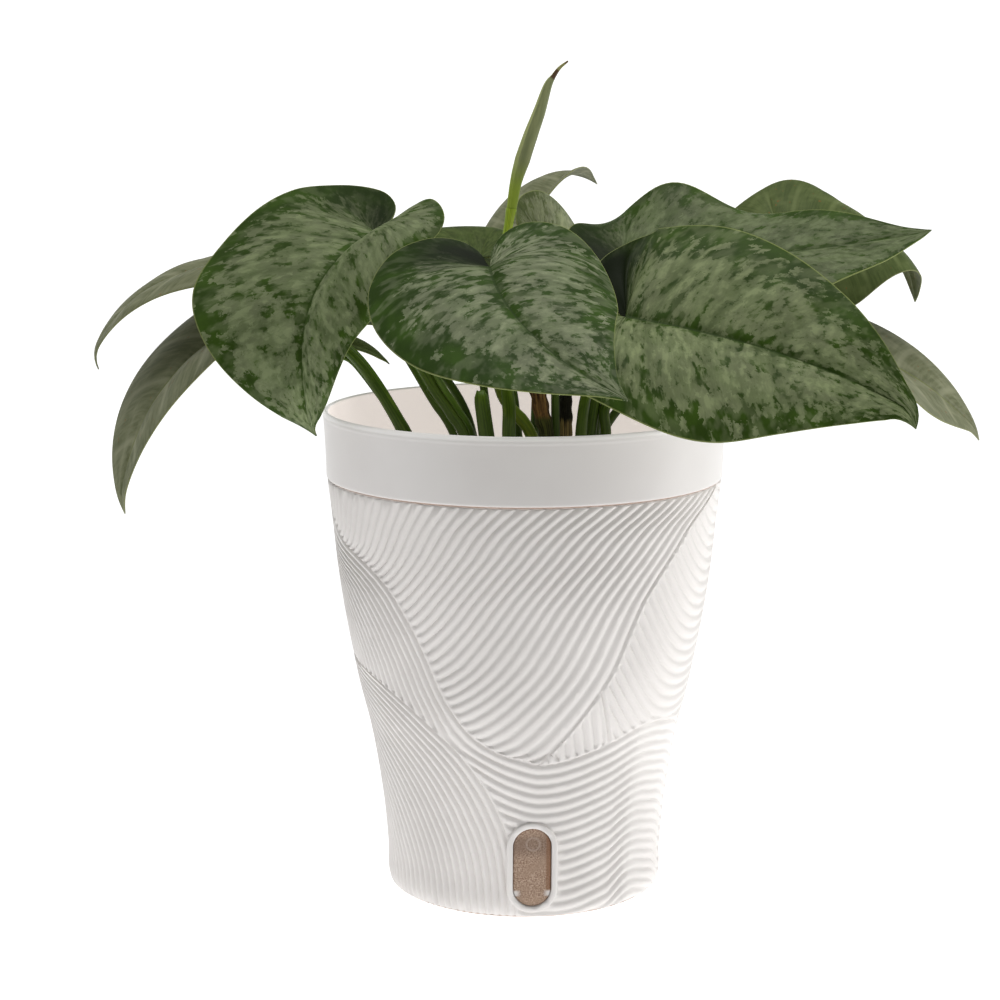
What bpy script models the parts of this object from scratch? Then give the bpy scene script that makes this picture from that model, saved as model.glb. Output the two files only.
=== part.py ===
"""A potted scindapsus: a vine with heart-shaped leaves in a two-part pot that waters itself.

Metres, +Z up. The origin is the middle of the pot's base, and -Y is the front, where the level window is.
"""

import math

import bmesh
import bpy
import numpy as np
from mathutils import Vector

MM = 0.001
GAP = 0.3 * MM  # left between pieces that touch

# Outer pot
SEAM_HEIGHT = 187.2 * MM
RIB_HEIGHT = 1.1 * MM
RIB_SCALE = 2.4  # ribs are drawn this many times wider than the moulded ones
POT_WALL = 2.4 * MM
POT_FLOOR = 3.0 * MM
FLOOR_STEP = 3.0 * MM  # the hollow is this much narrower at its floor
FOOT_WIDTH = 5.0 * MM
FOOT_HEIGHT = 1.2 * MM
BOSS_RADIUS = 16.0 * MM
SHEET_STEP = 13.0 * MM  # largest face of the ribbed sheet before the ribs are cut into it
EDGE_BAND = 2.0 * MM  # plain band above the foot and under the seam
MIDDLE_RADIUS = 78.0 * MM  # halfway up, for the width of the sheet's faces
LINES_PER_RIB = 2  # lines cut into the sheet for each rib: one along its crest and one along its foot
FIELD_SNAP = 0.3  # mm: corners this near a field's edge are taken as on it
RIB_SNAP = 0.08  # the same for the lines of a rib, in ribs

# Radius of the pot at a height, in mm, over the tops of the ribs
POT_PROFILE = [(0, 60.6), (2.0, 61.7), (16.5, 62.3), (35.6, 63.9), (54.6, 66.5), (73.5, 69.9), (92.3, 74.5),
               (111, 78.3), (129.5, 81.6), (148, 84.2), (166.4, 86.1), (187.2, 88.4)]

# Inner liner
POT_HEIGHT = 217.4 * MM
RIM_RADIUS = 90.0 * MM
LINER_WALL = 2.2 * MM
LINER_CLEARANCE = 1.2 * MM
LINER_FLOOR_HEIGHT = 50.0 * MM
WICK_RADIUS = 16.0 * MM
WICK_BOTTOM = 6.0 * MM
WICK_TAPER = 1.0 * MM
WICK_SLOTS = 4
WICK_SLOT_SIZE = (8.0 * MM, 3.0 * MM, 18.0 * MM)
WICK_SLOT_HEIGHT = 24.0 * MM
RIM_WALL = 2.6 * MM
LIP_ROUND = 1.4 * MM
BAND_TAPER = 1.3 * MM  # the rim band is this much narrower at its foot
BAND_STEP = 6.0 * MM  # height over which the rim's inside widens to the band
FLOOR_CORNER = 4.0 * MM  # slope where the liner's wall meets its floor

# Level window
WINDOW_WIDTH = 17.0 * MM
WINDOW_HEIGHT = 36.6 * MM
WINDOW_CENTRE = 23.7 * MM
WINDOW_ANGLE = math.radians(3.4)  # to the right of the front
WINDOW_TILT = math.radians(4.5)  # the wall leans out this far from upright there
FRAME_WIDTH = 2.6 * MM
FRAME_RISE = 1.0 * MM
FRAME_DEPTH = 4.0 * MM
PLUG_DEPTH = 5.2 * MM
PLUG_SET_BACK = 2.4 * MM  # from the pot's outside to the middle of the plug

# Soil
SOIL_HEIGHT = 165.0 * MM
SOIL_DOME = 4.0 * MM
ROOT_DEPTH = 22.0 * MM

# Leaves
BLADE_THICKNESS = 1.0 * MM
BLADE_STATIONS = 11  # rows of faces from the notch to the tip, on each half
BLADE_RINGS = 3  # rows of faces from the midrib to the margin
STALK_SET_IN = 3.0 * MM  # how far along the midrib the stalk meets the blade
STRAIGHT_END = 2.0 * MM  # last stretch of a stalk, square to the blade

# One half of a blade's outline: x in shares of the length, from the stalk to the tip, y in shares of the half
# width
HEART = [(-0.02, 0.015), (-0.11, 0.06), (-0.19, 0.20), (-0.225, 0.44), (-0.18, 0.75), (-0.03, 0.95),
         (0.18, 1.0), (0.41, 0.88), (0.61, 0.63), (0.78, 0.36), (0.90, 0.15), (0.965, 0.055), (1.0, 0.0)]

# Each leaf: where its stalk meets the blade (mm), then its length and the half widths on its left and right
# (mm). Then in degrees: heading (0 is +X, 90 is +Y), turn of the heading and rise of the midrib, droop towards
# the tip, roll and twist about the midrib, fold up from the midrib (left, right), curve down towards the margin
# (left, right) and lift of the lobes. Last the height of the margin's wave (mm) and where the wave starts
# (turns).
LEAVES = {
    "leaf_front_left":
        ((-63, -42, 298), (110, 34, 68), 214, 55, -22, 126, 4, 0, (35, 15), (115, 0), 15, 4, 0.1),
    "leaf_front_middle":
        ((-14, -108, 289), (111, 50, 52), -82, 46, -24, -5, 11, 18, (20, 15), (65, 35), 5, 0, 0.0),
    "leaf_front_right":
        ((42, -70, 265), (132, 57, 58), -15, 0, -8, 23, 20, 35, (35, 10), (30, 45), 50, 2, -0.1),
    "leaf_right":
        ((44, -7, 282), (138, 48, 54), -7, 22, 4, -4, 6, 20, (30, 0), (15, 25), 30, 9, 0.0),
    "leaf_far_right":
        ((118, 59, 292), (92, 38, 42), 0, 40, 15, 105, 30, -35, (12, 0), (20, 50), -25, 3, 0.0),
    "leaf_low_right":
        ((125, 20, 250), (123, 41, 46), 30, 0, -16, 30, 25, 35, (10, 20), (35, 5), 10, 0, 0.0),
    "leaf_top":
        ((-4, 76, 286), (97, 29, 22), 52, 20, 45, 76, -4, 0, (8, 45), (40, 10), 0, 0, 0.2),
    "leaf_behind_middle":
        ((10, 18, 284), (89, 37, 30), 43, 35, -12, 6, 33, -6, (34, 25), (5, 20), 25, 0, 0.0),
    "leaf_behind_left":
        ((-20, 37, 281), (60, 24, 30), 172, 18, 5, 25, -25, 0, (15, 15), (30, 30), 10, 0, 0.0),
    "leaf_far_left":
        ((-102, 30, 280), (117, 35, 35), 185, 5, 5, 79, -5, 0, (10, 10), (30, 30), 10, 0, 0.0),
    "leaf_low_left":
        ((-112, 20, 263), (126, 41, 45), 195, 15, -26, 65, -5, 0, (20, 20), (20, 30), -45, 0, 0.0),
    "leaf_small":
        ((-88, 22, 245), (32, 5, 5), -25, 0, -5, 30, 20, 0, (25, 20), (10, 10), 10, 0, 0.0),
    "leaf_back_left":
        ((-55, 60, 247), (100, 39, 40), 130, 12, 8, 50, 0, 0, (20, 20), (30, 30), 20, 2, 0.3),
    "leaf_back_middle":
        ((8, 82, 240), (104, 40, 40), 92, -15, 10, 62, 5, 0, (18, 22), (35, 30), 20, 2, 0.1),
    "leaf_back_right":
        ((71, 58, 234), (98, 38, 39), 42, 10, 5, 55, 0, 0, (20, 18), (30, 35), 20, 2, 0.6),
}
COLUMNS = ("base", "size", "heading", "turn", "rise", "droop", "roll", "twist", "fold", "curve", "lobe", "wave",
           "phase")

# Each stalk or stem: its radius at the soil and at its far end (mm), the leaf at its far end, and the points
# that it passes from the soil up (mm). The last stretch is bent to meet the blade's underside squarely.
STEMS = {
    "stem_low_left": (
        3.2, 2.4, "leaf_low_left",
        [(-38, 4, 165), (-52.5, 0, 204), (-74, 2, 238), (-98, 12, 254)]),
    "stem_far_left": (
        1.8, 1.5, "leaf_far_left",
        [(-22, 12, 165), (-32, 8, 204), (-42.5, 9, 221), (-55, 14, 241), (-75, 27, 267), (-90, 30, 275)]),
    "stem_front_left": (
        3.6, 2.0, "leaf_front_left",
        [(-17, -3, 165), (-25.5, -4, 204), (-33, -4, 217), (-41.5, -6, 230), (-57, -22, 262)]),
    "stem_front_middle": (
        3.2, 2.0, "leaf_front_middle",
        [(-4, -20, 165), (-6.7, -18, 204), (-7, -24, 224), (-11, -72, 260)]),
    "stem_rolled": (
        3.0, 2.0, "rolled_leaf",
        [(10, 14, 165), (3, 8, 204), (-11, 8, 225), (-12, 9, 262), (-9, 9, 285)]),
    "stem_behind_middle": (
        2.0, 1.6, "leaf_behind_middle",
        [(15, 1, 165), (14, 0, 204), (13, -1, 240)]),
    "stem_front_right": (
        2.6, 2.0, "leaf_front_right",
        [(25, -11, 165), (25, -9, 204), (29, -24, 232)]),
    "stem_right": (
        2.7, 1.9, "leaf_right",
        [(27, 0, 165), (29.5, 2, 204), (36, 4, 240)]),
    "stem_low_right": (
        1.8, 1.5, "leaf_low_right",
        [(31, 16, 165), (32.5, 15, 204), (37, 17, 220), (60, 22, 236), (98, 26, 244)]),
    "stem_far_right": (
        2.6, 1.7, "leaf_far_right",
        [(37, 2, 165), (36.6, 2, 204), (37.5, 4, 220), (58, 26, 246), (84, 50, 264)]),
    "stem_top": (
        2.2, 1.6, "leaf_top",
        [(0, 28, 165), (-4, 30, 210), (-9, 50, 252), (-8, 66, 270)]),
    "stem_behind_left": (
        2.0, 1.6, "leaf_behind_left",
        [(-12, 24, 165), (-17, 28, 210), (-22, 32, 250)]),
    "stem_small": (
        1.4, 1.1, "leaf_small",
        [(-36, 16, 165), (-53, 13, 202), (-76, 19, 233)]),
    "stem_back_left": (
        2.2, 1.7, "leaf_back_left",
        [(-20, 36, 165), (-26, 42, 206), (-40, 51, 228)]),
    "stem_back_middle": (
        2.2, 1.7, "leaf_back_middle",
        [(4, 44, 165), (5, 46, 206), (6, 68, 226)]),
    "stem_back_right": (
        2.2, 1.7, "leaf_back_right",
        [(30, 34, 165), (36, 37, 200), (54, 50, 220)]),
    "cut_stem_left": (
        3.8, 3.3, None,
        [(-12, -12, 165), (-16.5, -10, 204), (-19.5, -10, 226)]),
    "cut_stem_middle": (
        2.0, 4.2, None,
        [(10, -9, 165), (10, -7, 204), (8, -6.5, 214), (5.8, -6, 227)]),
    "cut_stem_dark": (
        3.0, 3.0, None,
        [(19, 11, 165), (18.5, 8, 204), (18.5, 7, 221)]),
}

# Rolled new leaf: points (mm) and radii (mm) from its stalk to its tip
ROLLED_LEAF = [((-3.5, 9, 305), 2.1), ((0, 9, 318), 2.6), ((4, 9, 330), 2.9), ((9, 9, 345), 2.5),
               ((13, 9, 354), 1.9), ((17, 9, 362), 1.1), ((20, 9, 366), 0.6)]

WHITE = ((0.83, 0.82, 0.81), 0.35)
CLEAR = ((0.62, 0.52, 0.44), 0.2)
EARTH = ((0.05, 0.035, 0.025), 0.95)
BLADE = ((0.11, 0.16, 0.075), 0.5)
STALK = ((0.16, 0.22, 0.07), 0.5)
CUT = ((0.14, 0.09, 0.05), 0.7)
ROLLED = ((0.33, 0.42, 0.2), 0.5)


def smooth_curve(points, steps=12):
    """A function that passes smoothly through hand chosen points (x, y), with x rising."""
    x = np.array([p[0] for p in points], float)
    y = np.array([p[1] for p in points], float)
    slope = np.diff(y) / np.diff(x)
    at_point = np.concatenate([slope[:1], (slope[:-1] + slope[1:]) / 2, slope[-1:]])
    xs, ys = [], []
    for i, width in enumerate(np.diff(x)):
        t = np.arange(steps) / steps
        xs.append(x[i] + width * t)
        ys.append((2 * t**3 - 3 * t**2 + 1) * y[i] + (t**3 - 2 * t**2 + t) * width * at_point[i]
                  + (3 * t**2 - 2 * t**3) * y[i + 1] + (t**3 - t**2) * width * at_point[i + 1])
    xs.append(x[-1:])
    ys.append(y[-1:])
    xs, ys = np.concatenate(xs), np.concatenate(ys)
    return lambda at: np.interp(at, xs, ys)


def spline(points, steps):
    """Points of a smooth line through the given ones."""
    p = np.array(points, float)
    p = np.vstack([2 * p[0] - p[1], p, 2 * p[-1] - p[-2]])
    out = []
    for a, b, c, d in zip(p, p[1:], p[2:], p[3:]):
        for t in np.arange(steps) / steps:
            bend, twist = 2 * a - 5 * b + 4 * c - d, 3 * b - a - 3 * c + d
            out.append(b + 0.5 * ((c - a) * t + bend * t**2 + twist * t**3))
    out.append(p[-2])
    return np.array(out)


# The ribs. Angles are in degrees from the front, heights in mm, and the pattern repeats on the back.
PATTERN_TURN = 180.0
PATTERN_START = -95.0
FAN_RIBS = 37
FAN_TIP = 71.3
LOW_FIELD_TOP = 110.0
WAVE_TOP = smooth_curve([(-95, 187), (-80, 172), (-69, 163), (-56, 157), (-48, 151), (-38.5, 135),
                         (-32.5, 118), (-28.7, 104), (-24.7, 94), (-18.6, 84), (-9.7, 77), (-1, 73.3),
                         (5, 71.3), (12, 71.8), (20, 74), (32, 78.5),
                         (44, 83.5), (52, 84.3), (62, 82.5), (73, 79.4), (85, 73)])
FAN_RIGHT = smooth_curve([(71.3, 5), (77, 9.5), (97, 21.7), (112, 28.7), (131, 34), (145, 38.7), (167, 52),
                          (174, 57), (187, 73)])
FAN_LEFT = smooth_curve([(71.3, 5), (73.3, -1), (77, -9.7), (84, -18.6), (94, -24.7), (104, -28.7),
                         (118, -32.5), (135, -38.5), (151, -48), (157, -56), (163, -69),
                         (172, -80), (187, -95)])
FAN_SWEEP = smooth_curve([(71, -200), (87, -170), (112, -122), (132, -98), (145, -88), (163, -79), (175, -76),
                          (187, -75)])
LOW_FIELD = smooth_curve([(0, -3.6), (15, -4.2), (30, -5.6), (41.6, -8.0), (50.5, -11.2), (60.7, -15.6),
                          (74.7, -24.2), (84, -32.5), (96, -46), (102.7, -59), (107, -75), (110, -95)])
LOW_LEAN = 0.45  # mm of height by which the ribs' form moves down for each degree that they lie further left
BOWL = smooth_curve([(10, 84), (20, 62), (27, 46.5), (33, 33.8), (40, 20), (45, 12.3), (49, 7.5), (54, 3.6),
                     (58, 1.8), (63, 0.5), (68, 0), (80, 0.6), (95, 4)])
BOWL_LEAN = 0.26  # degrees by which a bowl lies further right for each mm of its height


def fan_phase(angle, height):
    """Ribs of the big fan, counted from its right edge; they hook to the left where they meet its left edge."""
    across = (FAN_RIGHT(height) - angle) / (FAN_RIGHT(height) - FAN_SWEEP(height))
    from_left = np.maximum(angle - FAN_LEFT(height), 0)
    return across * FAN_RIBS - 1.0 * np.exp(-from_left / 8)


def bowl_phase(angle, height):
    """Nested bowls to the right of the fan, counted by the height of their lowest point."""
    low = height - 20
    for _ in range(12):
        low = (low + height - BOWL(angle - BOWL_LEAN * (low - 92))) / 2
    return low / 4.9


def upright_phase(angle, height):
    """Upright ribs in the corner between fan, bowls and wave."""
    return (1.2 * angle + 0.22 * height) / 4.4


def low_phase(angle, height):
    """Ribs of the field at the lower left, which have the form of its right edge, moved left and down."""
    near, far = 0 * angle, 0 * angle + 100
    for _ in range(24):
        middle = (near + far) / 2
        inside = LOW_FIELD(height + LOW_LEAN * middle) - angle > middle
        near, far = np.where(inside, middle, near), np.where(inside, far, middle)
    return near / 3.1


def wave_phase(angle, height):
    """Ribs side by side with the fan's left edge, which run on below its tip as a wave."""
    slope = (WAVE_TOP(angle + 4) - WAVE_TOP(angle - 4)) / 8 / 1.35
    pitch = 3.7 + 0.9 / (1 + np.exp(-(angle + 12) / 6))
    below = (WAVE_TOP(angle) - height) / np.sqrt(1 + slope**2) / pitch
    slope = (FAN_LEFT(height + 5) - FAN_LEFT(height - 5)) / 10 * 1.35
    beside = (FAN_LEFT(height) - angle) * 1.35 / np.sqrt(1 + slope**2) / 3.7
    left = 1 / (1 + np.exp((angle + 27) / 4))
    return below + (beside - below) * left


# Each field of ribs: how far inside it a place is (above 0 is inside), and its ribs. The first that holds
# wins.
FIELDS = [
    (lambda a, h: np.minimum(np.minimum(a - FAN_LEFT(h), FAN_RIGHT(h) - a), h - FAN_TIP), fan_phase),
    (lambda a, h: np.minimum(h - WAVE_TOP(a), 26 + (103 - h) * 0.235 - a), upright_phase),
    (lambda a, h: np.minimum(h - WAVE_TOP(a), a), bowl_phase),
    (lambda a, h: np.minimum(LOW_FIELD(h) - a, LOW_FIELD_TOP - h), low_phase),
    (lambda a, h: 1.0 + 0 * a, wave_phase),
]


def pot_radius(height):
    return POT_RADIUS_MM(height / MM) * MM


POT_RADIUS_MM = smooth_curve(POT_PROFILE)


def clear_scene():
    for obj in list(bpy.data.objects):
        bpy.data.objects.remove(obj, do_unlink=True)


def new_collection(name):
    group = bpy.data.collections.new(name)
    bpy.context.scene.collection.children.link(group)
    return group


def finish(name, colour, roughness, alpha=1.0):
    """A Principled material."""
    material = bpy.data.materials.new(name)
    material.use_nodes = True
    shader = material.node_tree.nodes["Principled BSDF"]
    shader.inputs["Base Color"].default_value = (*colour, 1.0)
    shader.inputs["Roughness"].default_value = roughness
    shader.inputs["Metallic"].default_value = 0.0
    shader.inputs["Alpha"].default_value = alpha
    return material


def place(name, mesh, group, material=None):
    obj = bpy.data.objects.new(name, mesh)
    group.objects.link(obj)
    if material:
        mesh.materials.append(material)
    return obj


def mesh_from(name, bm):
    mesh = bpy.data.meshes.new(name)
    bm.to_mesh(mesh)
    bm.free()
    return mesh


def turned(name, profile, group, material=None, steps=36):
    """A closed profile of (radius, height) points, outer side first and downwards, turned about the Z axis."""
    bm = bmesh.new()
    verts = [bm.verts.new((r, 0, z)) for r, z in profile]
    for a, b in zip(verts, verts[1:]):
        bm.edges.new((a, b))
    obj = place(name, mesh_from(name, bm), group, material)
    screw = obj.modifiers.new("Turn", "SCREW")
    screw.steps = screw.render_steps = steps
    screw.use_merge_vertices = True
    screw.merge_threshold = 0.01 * MM
    return obj


def apply_modifiers(obj):
    """The object's evaluated mesh becomes its own mesh, with loose caps welded."""
    bpy.context.view_layer.update()
    graph = bpy.context.evaluated_depsgraph_get()
    mesh = bpy.data.meshes.new_from_object(obj.evaluated_get(graph))
    bm = bmesh.new()
    bm.from_mesh(mesh)
    bmesh.ops.remove_doubles(bm, verts=bm.verts, dist=0.005 * MM)
    bm.to_mesh(mesh)
    bm.free()
    return mesh


def boolean(obj, other, operation):
    modifier = obj.modifiers.new(operation.title(), "BOOLEAN")
    modifier.operation = operation
    modifier.object = other


def as_cutter(obj):
    obj.hide_render = True
    obj.display_type = "WIRE"
    return obj


def capsule(name, width, height, depth, group, material=None):
    """An upright plate with round ends, cut from a flat outline, at the front of the pot."""
    radius, straight = width / 2, (height - width) / 2
    points = []
    for half in (0, 1):
        for step in range(9):
            turn = math.pi * (half + step / 8)
            lift = straight if half == 0 else -straight
            points.append((radius * math.cos(turn), lift + radius * math.sin(turn)))
    curve = bpy.data.curves.new(name, "CURVE")
    curve.dimensions = "2D"
    curve.fill_mode = "BOTH"
    curve.extrude = depth / 2
    outline = curve.splines.new("POLY")
    outline.points.add(len(points) - 1)
    for point, (x, y) in zip(outline.points, points):
        point.co = (x, y, 0, 1)
    outline.use_cyclic_u = True
    flat = bpy.data.objects.new(name, curve)
    group.objects.link(flat)
    mesh = apply_modifiers(flat)
    bpy.data.objects.remove(flat)
    obj = place(name, mesh, group, material)
    obj.rotation_euler = (math.radians(90) + WINDOW_TILT, 0, WINDOW_ANGLE)
    return obj


def on_front(obj, radius):
    """Moves a plate out to this distance from the pot's axis, at the level window."""
    obj.location = (radius * math.sin(WINDOW_ANGLE), -radius * math.cos(WINDOW_ANGLE), WINDOW_CENTRE)
    return obj


def cut_along(bm, faces, values, levels, snap):
    """Splits the faces along the lines where the value at their corners, spread evenly between, is each level.

    Corners whose value is within snap of a level count as on it.
    """
    faces = set(faces)
    for level in levels:
        near = [f for f in faces if min(values[v] for v in f.verts) < level - snap
                and max(values[v] for v in f.verts) > level + snap]
        if not near:
            continue
        places = {v: v.co.copy() for f in near for v in f.verts}
        for v in places:
            v.co.z = values[v]
        geometry = list({*near, *(e for f in near for e in f.edges), *places})
        cut = bmesh.ops.bisect_plane(bm, geom=geometry, dist=snap, plane_co=(0, 0, level), plane_no=(0, 0, 1))
        for v, co in places.items():
            v.co = co
        for item in cut["geom_cut"]:
            if isinstance(item, bmesh.types.BMVert) and item not in values:
                values[item] = level
                item.co.z = 0
        faces = {f for f in faces if f.is_valid}
        faces |= {item for item in cut["geom"] if isinstance(item, bmesh.types.BMFace)}
    return faces


def ribbed_sheet():
    """A flat sheet of the pot's unrolled side, in degrees and mm, with every rib's crest and foot cut into it.

    It gives the mesh and the height of the relief at each corner, from 0 to 1.
    """
    bm = bmesh.new()
    done = bm.faces.layers.int.new("done")
    top, band = SEAM_HEIGHT / MM, EDGE_BAND / MM
    columns = 2 * round(math.pi * MIDDLE_RADIUS / SHEET_STEP)
    rows = round((SEAM_HEIGHT - 2 * EDGE_BAND) / SHEET_STEP)
    heights = [0, *np.linspace(band, top - band, rows + 1), top]
    angles = [PATTERN_START + 360 * i / columns for i in range(columns + 1)]
    grid = [[bm.verts.new((angle, z, 0)) for angle in angles] for z in heights]
    for n, (low, high) in enumerate(zip(grid, grid[1:])):
        for i in range(columns):
            face = bm.faces.new((low[i], low[i + 1], high[i + 1], high[i]))
            face[done] = n in (0, rows + 1)
    relief = {}
    for start in (PATTERN_START, PATTERN_START + PATTERN_TURN):
        shift = PATTERN_START - start
        for inside, phase in FIELDS:
            end = start + PATTERN_TURN
            left = {f for f in bm.faces if not f[done] and start < f.calc_center_median().x < end}
            values = {v: float(inside(v.co.x + shift, v.co.y)) for f in left for v in f.verts}
            left = cut_along(bm, left, values, [0.0], FIELD_SNAP)
            own = {f for f in left if inside(f.calc_center_median().x + shift, f.calc_center_median().y) > 0}
            values = {v: float(phase(v.co.x + shift, v.co.y)) / RIB_SCALE for f in own for v in f.verts}
            lowest, highest = min(values.values()), max(values.values())
            lines = range(math.floor(lowest * LINES_PER_RIB), math.ceil(highest * LINES_PER_RIB))
            own = cut_along(bm, own, values, [n / LINES_PER_RIB for n in lines], RIB_SNAP)
            for f in own:
                f[done] = 1
                for v in f.verts:
                    rise = 0.5 - 0.5 * math.cos(2 * math.pi * values[v])
                    relief[v] = min(relief.get(v, 1.0), rise)
    return bm, relief


def ribbed_body(name, group, material):
    """The pot's full outer form, closed at the top and bottom."""
    bm, relief = ribbed_sheet()
    for v in bm.verts:
        angle, height = math.radians(v.co.x), v.co.y * MM
        radius = pot_radius(height) - RIB_HEIGHT * (1 - relief.get(v, 0.0))
        v.co = (radius * math.sin(angle), -radius * math.cos(angle), height)
    bmesh.ops.remove_doubles(bm, verts=bm.verts, dist=0.02 * MM)
    bmesh.ops.holes_fill(bm, edges=bm.edges, sides=0)
    bmesh.ops.triangulate(bm, faces=bm.faces)
    bmesh.ops.recalc_face_normals(bm, faces=bm.faces)
    return place(name, mesh_from(name, bm), group, material)


def make_outer_pot(group, cutters):
    pot = ribbed_body("outer_pot", group, finish("white plastic", *WHITE))
    inside = [(pot_radius(z * MM) - RIB_HEIGHT - POT_WALL, z * MM) for z in (187.2, 160, 132, 104, 76, 40, 6)]
    top = (inside[0][0], SEAM_HEIGHT + 5 * MM)
    hollow = [(0, top[1]), top, *inside, (inside[-1][0] - FLOOR_STEP, POT_FLOOR), (0, POT_FLOOR)]
    cavity = turned("pot_cavity", hollow, cutters)
    foot_inner = pot_radius(0) - RIB_HEIGHT - FOOT_WIDTH
    under = [(foot_inner, -2 * MM), (BOSS_RADIUS, -2 * MM), (BOSS_RADIUS, FOOT_HEIGHT),
             (foot_inner, FOOT_HEIGHT), (foot_inner, -2 * MM)]
    recess = turned("foot_recess", under, cutters)
    outside = pot_radius(WINDOW_CENTRE)
    size = (WINDOW_WIDTH + 2 * FRAME_WIDTH, WINDOW_HEIGHT + 2 * FRAME_WIDTH, FRAME_DEPTH)
    frame = capsule("window_frame", *size, cutters)
    on_front(frame, outside + FRAME_RISE - FRAME_DEPTH / 2)
    hole = on_front(capsule("window_hole", WINDOW_WIDTH, WINDOW_HEIGHT, 4 * FRAME_DEPTH, cutters), outside)
    boolean(pot, as_cutter(frame), "UNION")
    boolean(pot, as_cutter(cavity), "DIFFERENCE")
    boolean(pot, as_cutter(recess), "DIFFERENCE")
    boolean(pot, as_cutter(hole), "DIFFERENCE")
    return pot


def liner_outside(height):
    """Outer radius of the liner's wall, clear of the outer pot's inside."""
    return pot_radius(height) - RIB_HEIGHT - POT_WALL - LINER_CLEARANCE


def make_liner(group, cutters):
    band_foot = SEAM_HEIGHT + GAP
    wall_heights = [184 * MM, 148 * MM, 104 * MM, 60 * MM]
    outer = [(liner_outside(z), z) for z in wall_heights]
    inner = [(r - LINER_WALL, z) for r, z in reversed(outer)]
    floor = LINER_FLOOR_HEIGHT
    wick = WICK_RADIUS - WICK_TAPER
    lip = (RIM_RADIUS - RIM_WALL / 2, POT_HEIGHT)
    front = [
        lip, (RIM_RADIUS - 0.2 * LIP_ROUND, POT_HEIGHT - 0.3 * LIP_ROUND),
        (RIM_RADIUS, POT_HEIGHT - LIP_ROUND),
        (RIM_RADIUS - BAND_TAPER, band_foot), (outer[0][0] + 0.9 * MM, band_foot), *outer,
        (outer[-1][0] - FLOOR_CORNER, floor), (WICK_RADIUS, floor), (wick, WICK_BOTTOM), (0, WICK_BOTTOM),
    ]
    back = [
        (0, WICK_BOTTOM + LINER_WALL), (wick - LINER_WALL, WICK_BOTTOM + LINER_WALL),
        (WICK_RADIUS - LINER_WALL, floor + LINER_WALL), (inner[0][0] - FLOOR_CORNER, floor + LINER_WALL),
        *inner, (RIM_RADIUS - BAND_TAPER - RIM_WALL, band_foot + BAND_STEP),
        (RIM_RADIUS - RIM_WALL, POT_HEIGHT - LIP_ROUND),
        (RIM_RADIUS - RIM_WALL + 0.2 * LIP_ROUND, POT_HEIGHT - 0.3 * LIP_ROUND), lip,
    ]
    liner = turned("inner_liner", front + back, group, finish("white plastic liner", *WHITE))
    for n in range(WICK_SLOTS):
        bm = bmesh.new()
        bmesh.ops.create_cube(bm, size=1)
        bmesh.ops.scale(bm, verts=bm.verts, vec=WICK_SLOT_SIZE)
        slot = place(f"wick_slot_{n}", mesh_from("wick_slot", bm), cutters)
        turn = 2 * math.pi * (n + 0.5) / WICK_SLOTS
        slot.location = (WICK_RADIUS * math.cos(turn), WICK_RADIUS * math.sin(turn), WICK_SLOT_HEIGHT)
        slot.rotation_euler = (0, 0, turn)
        boolean(liner, as_cutter(slot), "DIFFERENCE")
    return liner


def make_window(group):
    """A clear plug that fills the hole in the pot's wall."""
    clear = finish("clear plastic", *CLEAR, alpha=0.5)
    plug = capsule("level_window", WINDOW_WIDTH - 2 * GAP, WINDOW_HEIGHT - 2 * GAP, PLUG_DEPTH, group, clear)
    on_front(plug, pot_radius(WINDOW_CENTRE) - PLUG_SET_BACK)
    return plug


def make_soil(group, cutters, roots):
    clear = GAP + LINER_WALL
    wall = [(liner_outside(z * MM) - clear, z * MM) for z in (148, 104, 60)]
    floor = LINER_FLOOR_HEIGHT + clear
    edge = liner_outside(SOIL_HEIGHT) - clear
    profile = [(0, SOIL_HEIGHT + SOIL_DOME), (edge * 0.5, SOIL_HEIGHT + SOIL_DOME * 0.8), (edge, SOIL_HEIGHT),
               *wall, (wall[-1][0] - FLOOR_CORNER - GAP, floor), (WICK_RADIUS - clear, floor),
               (WICK_RADIUS - WICK_TAPER - clear, WICK_BOTTOM + clear), (0, WICK_BOTTOM + clear)]
    soil = turned("soil", profile, group, finish("soil", *EARTH), steps=28)
    depth = 1.6 * ROOT_DEPTH
    for name, (foot, radius) in roots.items():
        bm = bmesh.new()
        bmesh.ops.create_cone(bm, cap_ends=True, segments=8, radius1=radius, radius2=radius, depth=depth)
        hole = place(f"hole_{name}", mesh_from(f"hole_{name}", bm), cutters)
        hole.location = foot + Vector((0, 0, depth / 2 - GAP))
        boolean(soil, as_cutter(hole), "DIFFERENCE")
    return soil


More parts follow.
